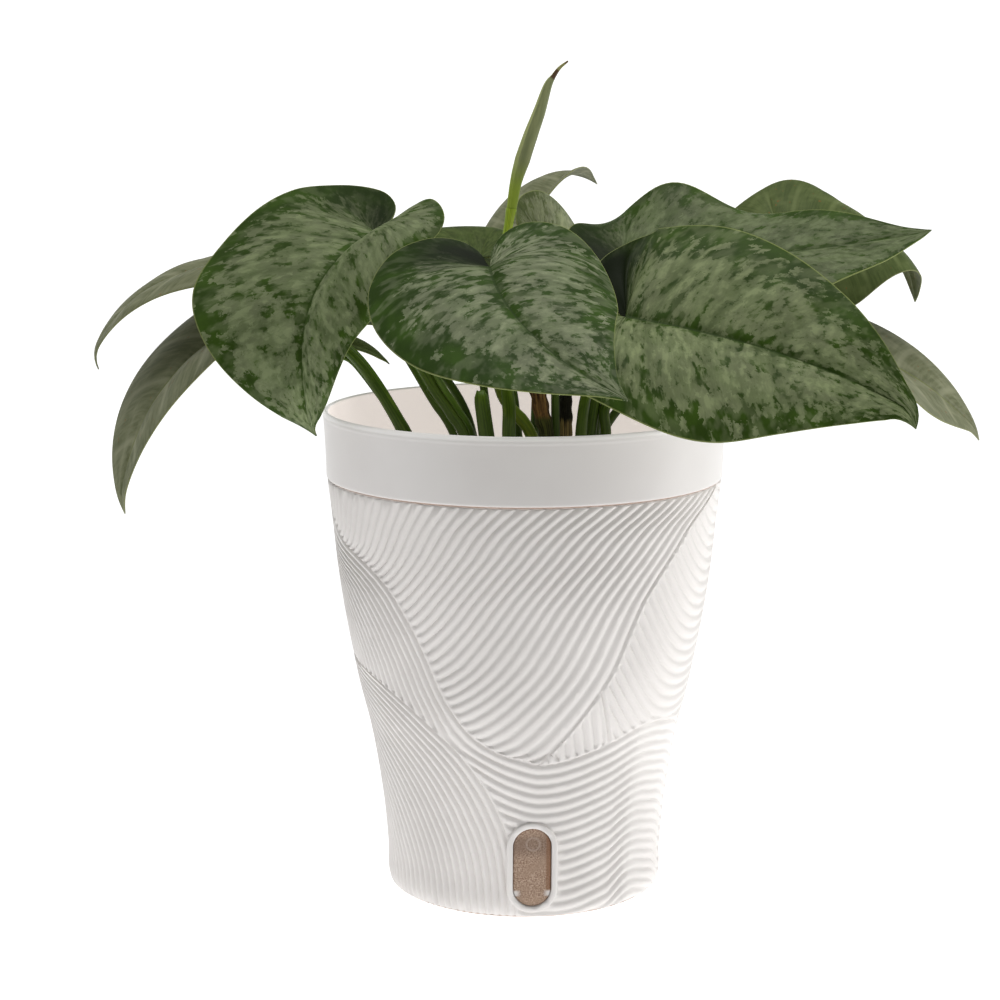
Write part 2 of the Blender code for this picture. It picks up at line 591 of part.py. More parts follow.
class Blade:
    """The surface of one leaf. Flat places on it are x along the midrib and y to its left, in metres."""

    def __init__(self, row):
        data = dict(zip(COLUMNS, row))
        self.base = np.array(data["base"]) * MM
        self.length, self.left, self.right = (n * MM for n in data["size"])
        self.fold = np.radians(data["fold"])
        self.curve = np.radians(data["curve"])
        self.wave, self.phase = data["wave"] * MM, data["phase"]
        self.x = np.linspace(-0.3, 1, 48) * self.length
        along = np.clip(self.x / self.length, 0, 1)
        behind = np.clip(-4 * self.x / self.length, 0, 2)
        heading = np.radians(data["heading"] + data["turn"] * along)
        rise = np.radians(data["rise"] - data["droop"] * along**1.5 - data["lobe"] * behind)
        roll = np.radians(data["roll"] + data["twist"] * along)[:, None]
        forward = np.stack([np.cos(rise) * np.cos(heading), np.cos(rise) * np.sin(heading), np.sin(rise)], 1)
        level = np.stack([-np.sin(heading), np.cos(heading), 0 * heading], 1)
        upright = np.cross(forward, level)
        self.forward = forward
        self.side = level * np.cos(roll) + upright * np.sin(roll)
        self.normal = upright * np.cos(roll) - level * np.sin(roll)
        steps = (forward[1:] + forward[:-1]) / 2 * np.diff(self.x)[:, None]
        line = np.vstack([np.zeros(3), np.cumsum(steps, 0)])
        self.line = line - self.read(line, 0) + self.base

    def read(self, rows, x):
        return np.stack([np.interp(x, self.x, rows[:, k]) for k in range(3)], -1)

    def at(self, x, y):
        half = self.left if y > 0 else self.right
        side = 0 if y > 0 else 1
        out = abs(y) / half
        start = self.fold[side] * (1 - 0.55 * min(max(x / self.length, 0), 1))
        bend = self.curve[side] or 1e-4
        across = (math.sin(start) - math.sin(start - bend * out)) / bend * half
        up = (math.cos(start - bend * out) - math.cos(start)) / bend * half
        ripple = math.sin(2 * math.pi * (1.5 * x / self.length + self.phase) + (0, 1.3)[side])
        up += self.wave * ripple * min(out, 1.2) ** 2
        sideways = math.copysign(across, y) * self.read(self.side, x)
        return self.read(self.line, x) + sideways + up * self.read(self.normal, x)

    def stalk_end(self):
        """Where the stalk stops below the midrib, and the blade's upward direction there."""
        up = self.read(self.normal, STALK_SET_IN)
        return self.at(STALK_SET_IN, 0) - up * (BLADE_THICKNESS / 2 + GAP), up


def heart_rows(stations):
    """Points of one half's outline, evenly spaced from the notch to the tip, in shares."""
    line = spline(HEART, 8)
    run = np.concatenate([[0], np.cumsum(np.linalg.norm(np.diff(line, axis=0) * (1.0, 0.45), axis=1))])
    at = np.linspace(0, run[-1], stations + 1)
    return np.stack([np.interp(at, run, line[:, 0]), np.interp(at, run, line[:, 1])], 1)


def blade_mesh(name, blade):
    """An open sheet: rows run from the midrib out to the margin as the veins do."""
    bm = bmesh.new()
    rows = heart_rows(BLADE_STATIONS)
    ribs = [bm.verts.new(blade.at(max(x, 0) ** 1.2 * blade.length, 0)) if x > 0.02 else None for x, _ in rows]
    foot = bm.verts.new(blade.at(0, 0))
    ribs = [v or foot for v in ribs]
    for side, half in ((1, blade.left), (-1, blade.right)):
        grid = []
        for rib, (x, y) in zip(ribs, rows[:-1]):
            start = max(x, 0) ** 1.2 if rib is not foot else 0
            row = [rib]
            for ring in range(1, BLADE_RINGS + 1):
                t = ring / BLADE_RINGS
                along = (start + (x - start) * t) * blade.length
                row.append(bm.verts.new(blade.at(along, side * max(y * t, 1e-6) * half)))
            grid.append(row)
        for a, b in zip(grid, grid[1:]):
            for n in range(BLADE_RINGS):
                corners = [a[n], b[n], b[n + 1], a[n + 1]] if side < 0 else [a[n], a[n + 1], b[n + 1], b[n]]
                corners = list(dict.fromkeys(corners))
                face = bm.faces.new(corners)
                if len(corners) == 4:
                    bmesh.ops.triangulate(bm, faces=[face])
        tip, last = ribs[-1], grid[-1]
        for n in range(BLADE_RINGS):
            bm.faces.new((last[n], tip, last[n + 1]) if side < 0 else (last[n], last[n + 1], tip))
    bmesh.ops.recalc_face_normals(bm, faces=bm.faces)
    return mesh_from(name, bm)


def make_leaf(name, blade, group, material):
    leaf = place(name, blade_mesh(name, blade), group, material)
    solid = leaf.modifiers.new("Thickness", "SOLIDIFY")
    solid.thickness = BLADE_THICKNESS
    solid.offset = 0
    return leaf


def tube(name, points, radii, group, material, sides=6):
    """A round tube along points, with its own radius at each."""
    curve = bpy.data.curves.new(name, "CURVE")
    curve.dimensions = "3D"
    curve.bevel_depth = 1.0
    curve.bevel_resolution = (sides - 4) // 2
    curve.use_fill_caps = True
    line = curve.splines.new("POLY")
    line.points.add(len(points) - 1)
    for point, place_at, radius in zip(line.points, points, radii):
        point.co = (*place_at, 1)
        point.radius = radius
    obj = bpy.data.objects.new(name, curve)
    group.objects.link(obj)
    curve.materials.append(material)
    return obj


def stem_line(row, blades):
    """The stem's points from its root up, and the radius at each, in metres."""
    low, high, leaf, points = row
    points = [np.array(p) * MM for p in points]
    root = points[0] * (1, 1, 0) + np.array([0, 0, SOIL_HEIGHT - ROOT_DEPTH])
    points[0] = points[0] + np.array([0, 0, SOIL_DOME + 3 * MM])
    tail = []
    if leaf == "rolled_leaf":
        first = np.array(ROLLED_LEAF[0][0]) * MM
        second = np.array(ROLLED_LEAF[1][0]) * MM
        up = (second - first) / np.linalg.norm(second - first)
        end = first - up * GAP
    elif leaf:
        end, up = blades[leaf].stalk_end()
    if leaf:
        points += [end - up * 7 * MM, end - up * STRAIGHT_END]
        tail = [end]
    line = np.array([root, *spline(points, 2), *tail])
    run = np.concatenate([[0], np.cumsum(np.linalg.norm(np.diff(line, axis=0), axis=1))])
    radii = np.interp(run, (0, run[2], run[-1]), (low * MM, low * MM, high * MM))
    return line, radii


def make_stems(group, blades):
    green = finish("stalk green", *STALK)
    brown = finish("cut stem brown", *CUT)
    roots = {}
    for name, row in STEMS.items():
        line, radii = stem_line(row, blades)
        tube(name, line, radii, group, green if row[2] or name == "cut_stem_left" else brown)
        roots[name] = (Vector(line[0]), float(radii[0]) + GAP + 0.1 * MM)
    return roots


def make_rolled_leaf(group):
    points = spline([np.array(p) * MM for p, _ in ROLLED_LEAF], 3)
    shares, given = np.linspace(0, 1, len(points)), np.linspace(0, 1, len(ROLLED_LEAF))
    radii = np.interp(shares, given, [r * MM for _, r in ROLLED_LEAF])
    tube("rolled_leaf", points, radii, group, finish("rolled leaf green", *ROLLED))


def main():
    clear_scene()
    group = new_collection("potted scindapsus")
    cutters = new_collection("cutters")
    make_outer_pot(group, cutters)
    make_liner(group, cutters)
    make_window(group)
    green = finish("leaf green", *BLADE)
    blades = {name: Blade(row) for name, row in LEAVES.items()}
    for name, blade in blades.items():
        make_leaf(name, blade, group, green)
    make_rolled_leaf(group)
    roots = make_stems(group, blades)
    make_soil(group, cutters, roots)


main()
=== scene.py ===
"""The looks of a potted scindapsus: a ribbed white pot that waters itself, and silver-marked leaves.

Metres, +Z up. The origin is the middle of the pot's base, and -Y is the front, where the level window is.
Every solid of the frame is replaced by a finer piece of the same form. The top leaf, the far right leaf, the
leaf behind the middle and the rolled leaf are shaped a little differently from their solids.
"""

import math

import bmesh
import bpy
import numpy as np
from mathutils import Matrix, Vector, noise


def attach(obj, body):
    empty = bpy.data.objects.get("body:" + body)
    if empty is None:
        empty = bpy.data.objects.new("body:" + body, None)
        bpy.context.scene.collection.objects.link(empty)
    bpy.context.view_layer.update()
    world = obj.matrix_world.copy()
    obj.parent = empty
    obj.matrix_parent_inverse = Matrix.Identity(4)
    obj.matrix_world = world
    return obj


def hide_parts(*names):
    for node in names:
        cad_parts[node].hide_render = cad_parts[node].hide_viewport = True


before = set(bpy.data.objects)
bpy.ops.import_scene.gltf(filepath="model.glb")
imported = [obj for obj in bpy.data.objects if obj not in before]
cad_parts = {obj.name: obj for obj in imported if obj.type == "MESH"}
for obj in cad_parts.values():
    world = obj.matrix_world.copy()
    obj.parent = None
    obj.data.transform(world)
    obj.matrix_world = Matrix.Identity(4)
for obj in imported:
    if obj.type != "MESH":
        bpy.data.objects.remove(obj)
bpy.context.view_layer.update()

MM = 0.001
GAP = 0.3 * MM  # left between pieces that touch

# Outer pot, as the frame has it
SEAM_HEIGHT = 187.2 * MM
RIB_HEIGHT = 1.1 * MM
POT_WALL = 2.4 * MM
POT_FLOOR = 3.0 * MM
FOOT_WIDTH = 5.0 * MM
FOOT_HEIGHT = 1.2 * MM
BOSS_RADIUS = 16.0 * MM
SEAM_LEDGE = 1.2 * MM  # width of the flat top on which the liner rests
FLOOR_STEP = 3.0 * MM  # the hollow is this much narrower at its floor
HOLLOW_HEIGHTS = (186.2, 160, 132, 104, 76, 40, 6)  # mm: where the hollow's radius is set
SHARP_RIBS = math.radians(62)  # faces that meet at more than this are shaded apart
SHEET_STEP = 5.5 * MM  # largest face of the ribbed sheet before the ribs are cut into it
EDGE_BAND = 0.8 * MM  # plain band above the foot and under the seam
MIDDLE_RADIUS = 78.0 * MM  # halfway up, for the width of the sheet's faces
FIELD_SNAP = 0.15  # mm: corners this near a field's edge are taken as on it
RIB_SNAP = 0.04  # the same for the lines of a rib, in ribs
EDGE_GROOVE = 0.9  # mm: width of the slope down to the edge of a field where ribs end
EDGE_FADE = 1.7  # mm: beyond it, the length over which grooves come up to the height of the ribs

# One rib in section: share of its width, and height in shares of the relief
RIB_TOP = 0.92
RIB_SECTION = [(0.0, 0.0), (0.15, 0.36), (0.33, RIB_TOP), (0.67, RIB_TOP), (0.85, 0.36)]

# Radius of the pot at a height, in mm, over the tops of the ribs
POT_PROFILE = [(0, 60.6), (2.0, 61.7), (16.5, 62.3), (35.6, 63.9), (54.6, 66.5), (73.5, 69.9), (92.3, 74.5),
               (111, 78.3), (129.5, 81.6), (148, 84.2), (166.4, 86.1), (187.2, 88.4)]

# Inner liner
POT_HEIGHT = 217.4 * MM
RIM_RADIUS = 90.0 * MM
RIM_WALL = 2.6 * MM
LIP_ROUND = 1.4 * MM
BEAD_HEIGHT = 3.0 * MM
BEAD_FOOT = [(0.20, 1.0), (0.14, 0.4)]  # mm in from the rim and below the bead, where the band meets it
LIP_STEPS = 12
BAND_TAPER = 1.3 * MM  # the rim band is this much narrower at its foot
BAND_STEP = 6.0 * MM  # height over which the rim's inside widens to the band
BAND_LINES = [(0.7, 13.0), (0.98, 1.2), (1.0, 0.5)]  # share of the taper, and mm above the band's foot
BAND_EDGE = 0.5 * MM
NECK_STEP = 0.9 * MM
LINER_WALL = 2.2 * MM
LINER_CLEARANCE = 1.2 * MM
LINER_FLOOR = 50.0 * MM
LINER_HEIGHTS = (184, 166, 148, 126, 104, 82, 60)  # mm: where the wall's radius is set
LINER_SIDES = 160
FLOOR_CORNER = 4.0 * MM
WICK_RADIUS = 16.0 * MM
WICK_TAPER = 1.0 * MM
WICK_BOTTOM = 6.0 * MM

# Level window
WINDOW_WIDTH = 17.0 * MM
WINDOW_HEIGHT = 36.6 * MM
WINDOW_CENTRE = 23.7 * MM
WINDOW_ANGLE = math.radians(3.4)  # to the right of the front
WINDOW_TILT = math.radians(4.5)  # the wall leans out this far from upright there
FRAME_WIDTH = 2.6 * MM
FRAME_RISE = 1.0 * MM
FRAME_DEPTH = 4.0 * MM
PLUG_DEPTH = 5.2 * MM
PLUG_SET_BACK = 2.4 * MM
CAPSULE_STEPS = 20

# Soil
SOIL_HEIGHT = 165.0 * MM
SOIL_DOME = 4.0 * MM
ROOT_DEPTH = 22.0 * MM
SOIL_SIDES = 150
SOIL_RINGS = 56
SOIL_LUMPS = [(160, 0.1, 1.1), (420, 0.7, 0.9), (45, 0.3, 1.6)]  # how fine, layer of the noise, mm high
SOIL_WALL = (148, 104, 60)  # mm: heights at which its side's radius is set
CRUMBS = 620

# Leaves
BLADE_THICKNESS = 0.9 * MM
STALK_GAP = 0.8 * MM  # from the middle of the blade to the end of its stalk in the frame
BLADE_STATIONS = 84
BLADE_LINE = 192  # points at which the midrib's direction is worked out
HOOK_START = 0.9  # share of the length from which the tip hooks
RINGS = [0, 0.02, 0.045, 0.08, 0.13, 0.19, 0.26, 0.34, 0.42, 0.50, 0.58, 0.66, 0.74, 0.82, 0.89, 0.945,
         0.98, 1.0]  # shares of the way from the midrib to the margin
VEINS = 8  # main side veins on each half
STALK_SET_IN = 3.0 * MM
STRAIGHT_END = 2.0 * MM

# One half of a blade's outline: x in shares of the length, from the stalk to the tip, and y in shares of the
# half width
HEART = [(-0.02, 0.015), (-0.11, 0.06), (-0.19, 0.20), (-0.225, 0.44), (-0.18, 0.75), (-0.03, 0.95),
         (0.18, 1.0), (0.41, 0.88), (0.61, 0.63), (0.78, 0.36), (0.90, 0.15), (0.965, 0.055), (1.0, 0.0)]

# Each leaf: where its stalk meets the blade (mm), the length and the half widths (mm), then in degrees
# heading, turn, rise, droop, roll, twist, fold and curve of each half and lift of the lobes, and last the
# height of the margin's wave (mm) and where it starts (turns). They are as the frame has them, but for a few
# numbers of the top leaf, the far right one and the one behind the middle.
LEAVES = {
    "leaf_front_left":
        ((-63, -42, 298), (110, 34, 68), 214, 55, -22, 126, 4, 0, (35, 15), (115, 0), 15, 4, 0.1),
    "leaf_front_middle":
        ((-14, -108, 289), (111, 50, 52), -82, 46, -24, -5, 11, 18, (20, 15), (65, 35), 5, 0, 0.0),
    "leaf_front_right":
        ((42, -70, 265), (132, 57, 58), -15, 0, -8, 23, 20, 35, (35, 10), (30, 45), 50, 2, -0.1),
    "leaf_right":
        ((44, -7, 282), (138, 48, 54), -7, 22, 4, -4, 6, 20, (30, 0), (15, 25), 30, 9, 0.0),
    "leaf_far_right":
        ((118, 59, 292), (92, 36, 49), 0, 40, 15, 105, 30, -22, (12, 0), (20, 58), -25, 3, 0.0),
    "leaf_low_right":
        ((125, 20, 250), (123, 41, 46), 30, 0, -16, 30, 25, 35, (10, 20), (35, 5), 10, 0, 0.0),
    "leaf_top":
        ((-4, 76, 286), (97, 33, 9), 52, 20, 45.5, 77, -4, 0, (8, 45), (40, 10), 0, 0, 0.2),
    "leaf_behind_middle":
        ((10, 18, 284), (85, 33, 30), 43, 35, -12, 35, 33, -6, (34, 25), (5, 20), 10, 0, 0.0),
    "leaf_behind_left":
        ((-20, 37, 281), (60, 24, 30), 172, 18, 5, 25, -25, 0, (15, 15), (30, 30), 10, 0, 0.0),
    "leaf_far_left":
        ((-102, 30, 280), (117, 35, 35), 185, 5, 5, 79, -5, 0, (10, 10), (30, 30), 10, 0, 0.0),
    "leaf_low_left":
        ((-112, 20, 263), (126, 41, 45), 195, 15, -26, 65, -5, 0, (20, 20), (20, 30), -45, 0, 0.0),
    "leaf_small":
        ((-88, 22, 245), (32, 5, 5), -25, 0, -5, 30, 20, 0, (25, 20), (10, 10), 10, 0, 0.0),
    "leaf_back_left":
        ((-55, 60, 247), (100, 39, 40), 130, 12, 8, 50, 0, 0, (20, 20), (30, 30), 20, 2, 0.3),
    "leaf_back_middle":
        ((8, 82, 240), (104, 40, 40), 92, -15, 10, 62, 5, 0, (18, 22), (35, 30), 20, 2, 0.1),
    "leaf_back_right":
        ((71, 58, 234), (98, 38, 39), 42, 10, 5, 55, 0, 0, (20, 18), (30, 35), 20, 2, 0.6),
}
COLUMNS = ("base", "size", "heading", "turn", "rise", "droop", "roll", "twist", "fold", "curve", "lobe",
           "wave", "phase")

# How each leaf is dressed: the finish of its upper face and of its underside, a number that shuffles its
# markings, how far the blade swells between its side veins (mm), and how far its tip hooks down and to the
# left (degrees)
DRESS = {
    "leaf_front_left":    ("front left", "pale underside", 1, 0.7, -25, -50),
    "leaf_front_middle":  ("front middle", "pale underside", 2, 0.5, 12, 25),
    "leaf_front_right":   ("front right", "pale underside", 3, 2.0, 45, -10),
    "leaf_right":         ("right", "pale underside", 4, 0.7, -8, 0),
    "leaf_far_right":     ("fresh", "veined underside", 5, 0.9, -10, 0),
    "leaf_low_right":     ("dull", "veined underside", 6, 0.9, 20, 0),
    "leaf_top":           ("dull", "pale underside", 7, 0.4, 0, -10),
    "leaf_behind_middle": ("sage", "pale underside", 8, 0.5, 20, 0),
    "leaf_behind_left":   ("olive", "pale underside", 9, 0.5, 0, 0),
    "leaf_far_left":      ("dull", "pale underside", 10, 0.7, 40, 0),
    "leaf_low_left":      ("dull", "pale underside", 11, 0.9, 15, 0),
    "leaf_small":         ("olive", "pale underside", 12, 0.2, 10, 0),
    "leaf_back_left":     ("right", "pale underside", 13, 0.8, 40, 0),
    "leaf_back_middle":   ("front right", "pale underside", 14, 0.8, 40, 0),
    "leaf_back_right":    ("front left", "pale underside", 15, 0.8, 40, 0),
}

# Each stalk or stem: its radius at the soil and at its far end (mm), the leaf at its far end, and the points
# that it passes from the soil up (mm)
STEMS = {
    "stem_low_left": (3.2, 2.4, "leaf_low_left",
        [(-38, 4, 165), (-52.5, 0, 204), (-74, 2, 238), (-98, 12, 254)]),
    "stem_far_left": (1.8, 1.5, "leaf_far_left",
        [(-22, 12, 165), (-32, 8, 204), (-42.5, 9, 221), (-55, 14, 241), (-75, 27, 267), (-90, 30, 275)]),
    "stem_front_left": (3.6, 2.0, "leaf_front_left",
        [(-17, -3, 165), (-25.5, -4, 204), (-33, -4, 217), (-41.5, -6, 230), (-57, -22, 262)]),
    "stem_front_middle": (3.2, 2.0, "leaf_front_middle",
        [(-4, -20, 165), (-6.7, -18, 204), (-7, -24, 224), (-11, -72, 260)]),
    "stem_rolled": (3.0, 2.0, "rolled_leaf",
        [(10, 14, 165), (3, 8, 204), (-11, 8, 225), (-12, 9, 262), (-9, 9, 285)]),
    "stem_behind_middle": (2.0, 1.6, "leaf_behind_middle", [(15, 1, 165), (14, 0, 204), (13, -1, 240)]),
    "stem_front_right": (2.6, 2.0, "leaf_front_right", [(25, -11, 165), (25, -9, 204), (29, -24, 232)]),
    "stem_right": (2.7, 1.9, "leaf_right", [(27, 0, 165), (29.5, 2, 204), (36, 4, 240)]),
    "stem_low_right": (1.8, 1.5, "leaf_low_right",
        [(31, 16, 165), (32.5, 15, 204), (37, 17, 220), (60, 22, 236), (98, 26, 244)]),
    "stem_far_right": (2.6, 1.7, "leaf_far_right",
        [(37, 2, 165), (36.6, 2, 204), (37.5, 4, 220), (58, 26, 246), (84, 50, 264)]),
    "stem_top": (2.2, 1.6, "leaf_top", [(0, 28, 165), (-4, 30, 210), (-9, 50, 252), (-8, 66, 270)]),
    "stem_behind_left": (2.0, 1.6, "leaf_behind_left", [(-12, 24, 165), (-17, 28, 210), (-22, 32, 250)]),
    "stem_small": (1.4, 1.1, "leaf_small", [(-36, 16, 165), (-53, 13, 202), (-76, 19, 233)]),
    "stem_back_left": (2.2, 1.7, "leaf_back_left", [(-20, 36, 165), (-26, 42, 206), (-40, 51, 228)]),
    "stem_back_middle": (2.2, 1.7, "leaf_back_middle", [(4, 44, 165), (5, 46, 206), (6, 68, 226)]),
    "stem_back_right": (2.2, 1.7, "leaf_back_right", [(30, 34, 165), (36, 37, 200), (54, 50, 220)]),
    "cut_stem_left": (3.8, 3.3, None, [(-12, -12, 165), (-16.5, -10, 204), (-19.5, -10, 226)]),
    "cut_stem_middle": (2.0, 4.2, None, [(10, -9, 165), (10, -7, 204), (8, -6.5, 214), (5.8, -6, 227)]),
    "cut_stem_dark": (3.0, 3.0, None, [(19, 11, 165), (18.5, 8, 204), (18.5, 7, 221)]),
}
STALK_SIDES = 16
ABOVE_SOIL = SOIL_DOME + 3 * MM  # how far above the soil's edge a stem's first point lies
CHANNEL_TURN = 1.57  # radians: the side of a stalk on which its channel runs
CHANNEL_WIDTH = 0.45
CHANNEL_DEPTH = 0.16
GRAIN_LENGTH = 10 * MM  # of stalk for one step of its markings

# Sheath on the front left stalk: its faces across and up, where it starts and ends in shares of the stalk's
# length, how far its inner and outer face lie off the stalk, and how far its upper edge stands out
SHEATH_SIDES = 26
SHEATH_ROWS = 22
SHEATH_FROM = 0.30
SHEATH_TO = 0.56
SHEATH_FACES = (0.25 * MM, 0.95 * MM)
SHEATH_FLARE = 1.6 * MM

# Rolled new leaf: points (mm) and radii (mm) from its stalk to its tip
ROLLED_LEAF = [((-6.0, 9, 305), 1.8), ((-4.0, 9, 317), 2.2), ((-1.1, 9, 327), 2.85), ((2.6, 9, 338), 2.65),
               ((6.3, 9, 348), 2.3), ((9.9, 9, 359), 1.6), ((12.6, 9, 363.5), 0.9), ((15.2, 9, 367), 0.65),
               ((19.0, 9, 370.0), 0.3)]
ROLLED_SIDES = 40

# The camera stands where the photograph was taken
CAMERA_PLACE = (0, -1.1217, 0.3731)
CAMERA_DOWN = 10.0  # degrees
CAMERA_TURN = 0.00972  # radians, to the left
LENS = 91.08  # mm
SENSOR = 36.0  # mm

# Studio: each lamp's name, place, size, watts and colour, and the floor, flat up to its curve at the back
LAMPS = [("right", (1.35, 0.10, 0.3), 0.7, 7.0, (1.0, 0.99, 0.97)),
         ("left", (-1.3, 0.3, 0.7), 0.8, 2.0, (1.0, 0.98, 0.97)),
         ("top", (0.1, 0.0, 1.6), 1.0, 13.0, (1.0, 0.99, 0.97))]
LAMPS_AIM = (0, 0, 0.2)
WORLD_LIGHT = 0.22
FLOOR_GLOW = 0.95
FLOOR_HALF_WIDTH = 2.6
FLOOR_FRONT = -2.0
FLOOR_BACK = 1.6
FLOOR_CURVE = 0.5
FLOOR_TOP = 0.9
FLOOR_SINK = 0.1 * MM


def smooth_curve(points, steps=12):
    """A function that passes smoothly through given points (x, y), with x rising."""
    x = np.array([p[0] for p in points], float)
    y = np.array([p[1] for p in points], float)
    slope = np.diff(y) / np.diff(x)
    at_point = np.concatenate([slope[:1], (slope[:-1] + slope[1:]) / 2, slope[-1:]])
    xs, ys = [], []
    for i, width in enumerate(np.diff(x)):
        t = np.arange(steps) / steps
        xs.append(x[i] + width * t)
        ys.append((2 * t**3 - 3 * t**2 + 1) * y[i] + (t**3 - 2 * t**2 + t) * width * at_point[i]
                  + (3 * t**2 - 2 * t**3) * y[i + 1] + (t**3 - t**2) * width * at_point[i + 1])
    xs.append(x[-1:])
    ys.append(y[-1:])
    xs, ys = np.concatenate(xs), np.concatenate(ys)
    return lambda at: np.interp(at, xs, ys)


def spline(points, steps):
    """Points of a smooth line through the given ones."""
    p = np.array(points, float)
    p = np.vstack([2 * p[0] - p[1], p, 2 * p[-1] - p[-2]])
    out = []
    for a, b, c, d in zip(p, p[1:], p[2:], p[3:]):
        for t in np.arange(steps) / steps:
            bend, twist = 2 * a - 5 * b + 4 * c - d, 3 * b - a - 3 * c + d
            out.append(b + 0.5 * ((c - a) * t + bend * t**2 + twist * t**3))
    out.append(p[-2])
    return np.array(out)


def soft_step(value, low, high):
    t = np.clip((value - low) / (high - low), 0, 1)
    return t * t * (3 - 2 * t)


# The ribs. Angles are in degrees from the front, heights in mm, and the pattern repeats on the back.
PATTERN_TURN = 180.0
PATTERN_START = -95.0
FAN_RIBS = 37
FAN_WIDER = 0.82  # ribs near the fan's right edge are this much fewer, so wider
FAN_TIP = 71.3
LOW_FIELD_TOP = 110.0
WAVE_TOP = smooth_curve([(-95, 187), (-80, 172), (-69, 163), (-56, 157), (-48, 151), (-38.5, 135),
                         (-32.5, 118), (-28.7, 104), (-24.7, 94), (-18.6, 84), (-9.7, 77), (-1, 73.3),
                         (5, 71.3), (12, 71.8), (20, 74), (32, 78.5),
                         (44, 83.5), (52, 84.3), (62, 82.5), (73, 79.4), (85, 73)])
FAN_RIGHT = smooth_curve([(71.3, 5), (77, 9.5), (97, 21.7), (112, 28.7), (131, 34), (145, 38.7), (167, 52),
                          (174, 57), (187, 73)])
FAN_LEFT = smooth_curve([(71.3, 5), (73.3, -1), (77, -9.7), (84, -18.6), (94, -24.7), (104, -28.7),
                         (118, -32.5), (135, -38.5), (151, -48), (157, -56), (163, -69),
                         (172, -80), (187, -95)])
FAN_SWEEP = smooth_curve([(71, -200), (87, -170), (112, -122), (132, -98), (145, -88), (163, -79),
                          (175, -76), (187, -75)])
LOW_FIELD = smooth_curve([(0, -3.6), (15, -4.2), (30, -5.6), (41.6, -8.0), (50.5, -11.2), (60.7, -15.6),
                          (74.7, -24.2), (84, -32.5), (96, -46), (102.7, -59), (107, -75), (110, -95)])
LOW_LEAN = 0.45  # mm of height by which the ribs' form moves down for each degree that they lie further left
BOWL = smooth_curve([(10, 84), (20, 62), (27, 46.5), (33, 33.8), (40, 20), (45, 12.3), (49, 7.5), (54, 3.6),
                     (58, 1.8), (63, 0.5), (68, 0), (80, 0.6), (95, 4)])
BOWL_LEAN = 0.26  # degrees by which a bowl lies further right for each mm of its height


def fan_phase(angle, height):
    """Ribs of the big fan, counted from its right edge; they hook to the left at its left edge."""
    across = (FAN_RIGHT(height) - angle) / (FAN_RIGHT(height) - FAN_SWEEP(height))
    across = FAN_WIDER * across + (1 - FAN_WIDER) * across**2
    from_left = np.maximum(angle - FAN_LEFT(height), 0)
    return across * FAN_RIBS - 1.0 * np.exp(-from_left / 8)


def bowl_phase(angle, height):
    """Nested bowls to the right of the fan, counted by the height of their lowest point."""
    low = height - 20
    for _ in range(12):
        low = (low + height - BOWL(angle - BOWL_LEAN * (low - 92))) / 2
    return low / 4.9


def upright_phase(angle, height):
    """Upright ribs in the corner between fan, bowls and wave."""
    return (1.2 * angle + 0.22 * height) / 4.4


def low_phase(angle, height):
    """Ribs of the field at the lower left, which have the form of its right edge, moved left and down."""
    near, far = 0 * angle, 0 * angle + 100
    for _ in range(24):
        middle = (near + far) / 2
        inside = LOW_FIELD(height + LOW_LEAN * middle) - angle > middle
        near, far = np.where(inside, middle, near), np.where(inside, far, middle)
    return near / 3.1


def wave_phase(angle, height):
    """Ribs side by side with the fan's left edge, which run on below its tip as a wave."""
    slope = (WAVE_TOP(angle + 4) - WAVE_TOP(angle - 4)) / 8 / 1.35
    pitch = 3.7 + 0.9 / (1 + np.exp(-(angle + 12) / 6))
    below = (WAVE_TOP(angle) - height) / np.sqrt(1 + slope**2) / pitch
    slope = (FAN_LEFT(height + 5) - FAN_LEFT(height - 5)) / 10 * 1.35
    beside = (FAN_LEFT(height) - angle) * 1.35 / np.sqrt(1 + slope**2) / 3.7
    left = 1 / (1 + np.exp((angle + 27) / 4))
    return below + (beside - below) * left


def upright_right(angle, height):
    """How far a place lies to the left of the line between the upright ribs and the bowls."""
    return 26 + (103 - height) * 0.235 - angle


def from_turn(angle):
    """How far a place is from the two lines where the pattern starts again."""
    return np.minimum(angle - PATTERN_START, PATTERN_START + PATTERN_TURN - angle)


# Each field of ribs: how far inside it a place is (above 0 is inside), how far from the nearest edge at
# which its ribs end, and its ribs. The first field that holds a place wins.
FIELDS = [
    (lambda a, h: np.minimum(np.minimum(a - FAN_LEFT(h), FAN_RIGHT(h) - a), h - FAN_TIP),
     lambda a, h: np.minimum(a - FAN_LEFT(h), from_turn(a)),
     fan_phase),
    (lambda a, h: np.minimum(np.minimum(h - WAVE_TOP(a), upright_right(a, h)), a - 5),
     lambda a, h: np.minimum(np.minimum(a - FAN_RIGHT(h), h - WAVE_TOP(a)), upright_right(a, h)),
     upright_phase),
    (lambda a, h: np.minimum(h - WAVE_TOP(a), a),
     lambda a, h: np.minimum(np.minimum(np.minimum(a - FAN_RIGHT(h), h - WAVE_TOP(a)), -upright_right(a, h)),
                             from_turn(a)),
     bowl_phase),
    (lambda a, h: np.minimum(LOW_FIELD(h) - a, LOW_FIELD_TOP - h),
     lambda a, h: from_turn(a),
     low_phase),
    (lambda a, h: np.maximum(np.maximum(a - LOW_FIELD(h), h - LOW_FIELD_TOP), 0.01),
     lambda a, h: np.minimum(np.maximum(a - LOW_FIELD(h), h - LOW_FIELD_TOP), from_turn(a)),
     wave_phase),
]

POT_RADIUS_MM = smooth_curve(POT_PROFILE)


def pot_radius(height):
    return POT_RADIUS_MM(height / MM) * MM


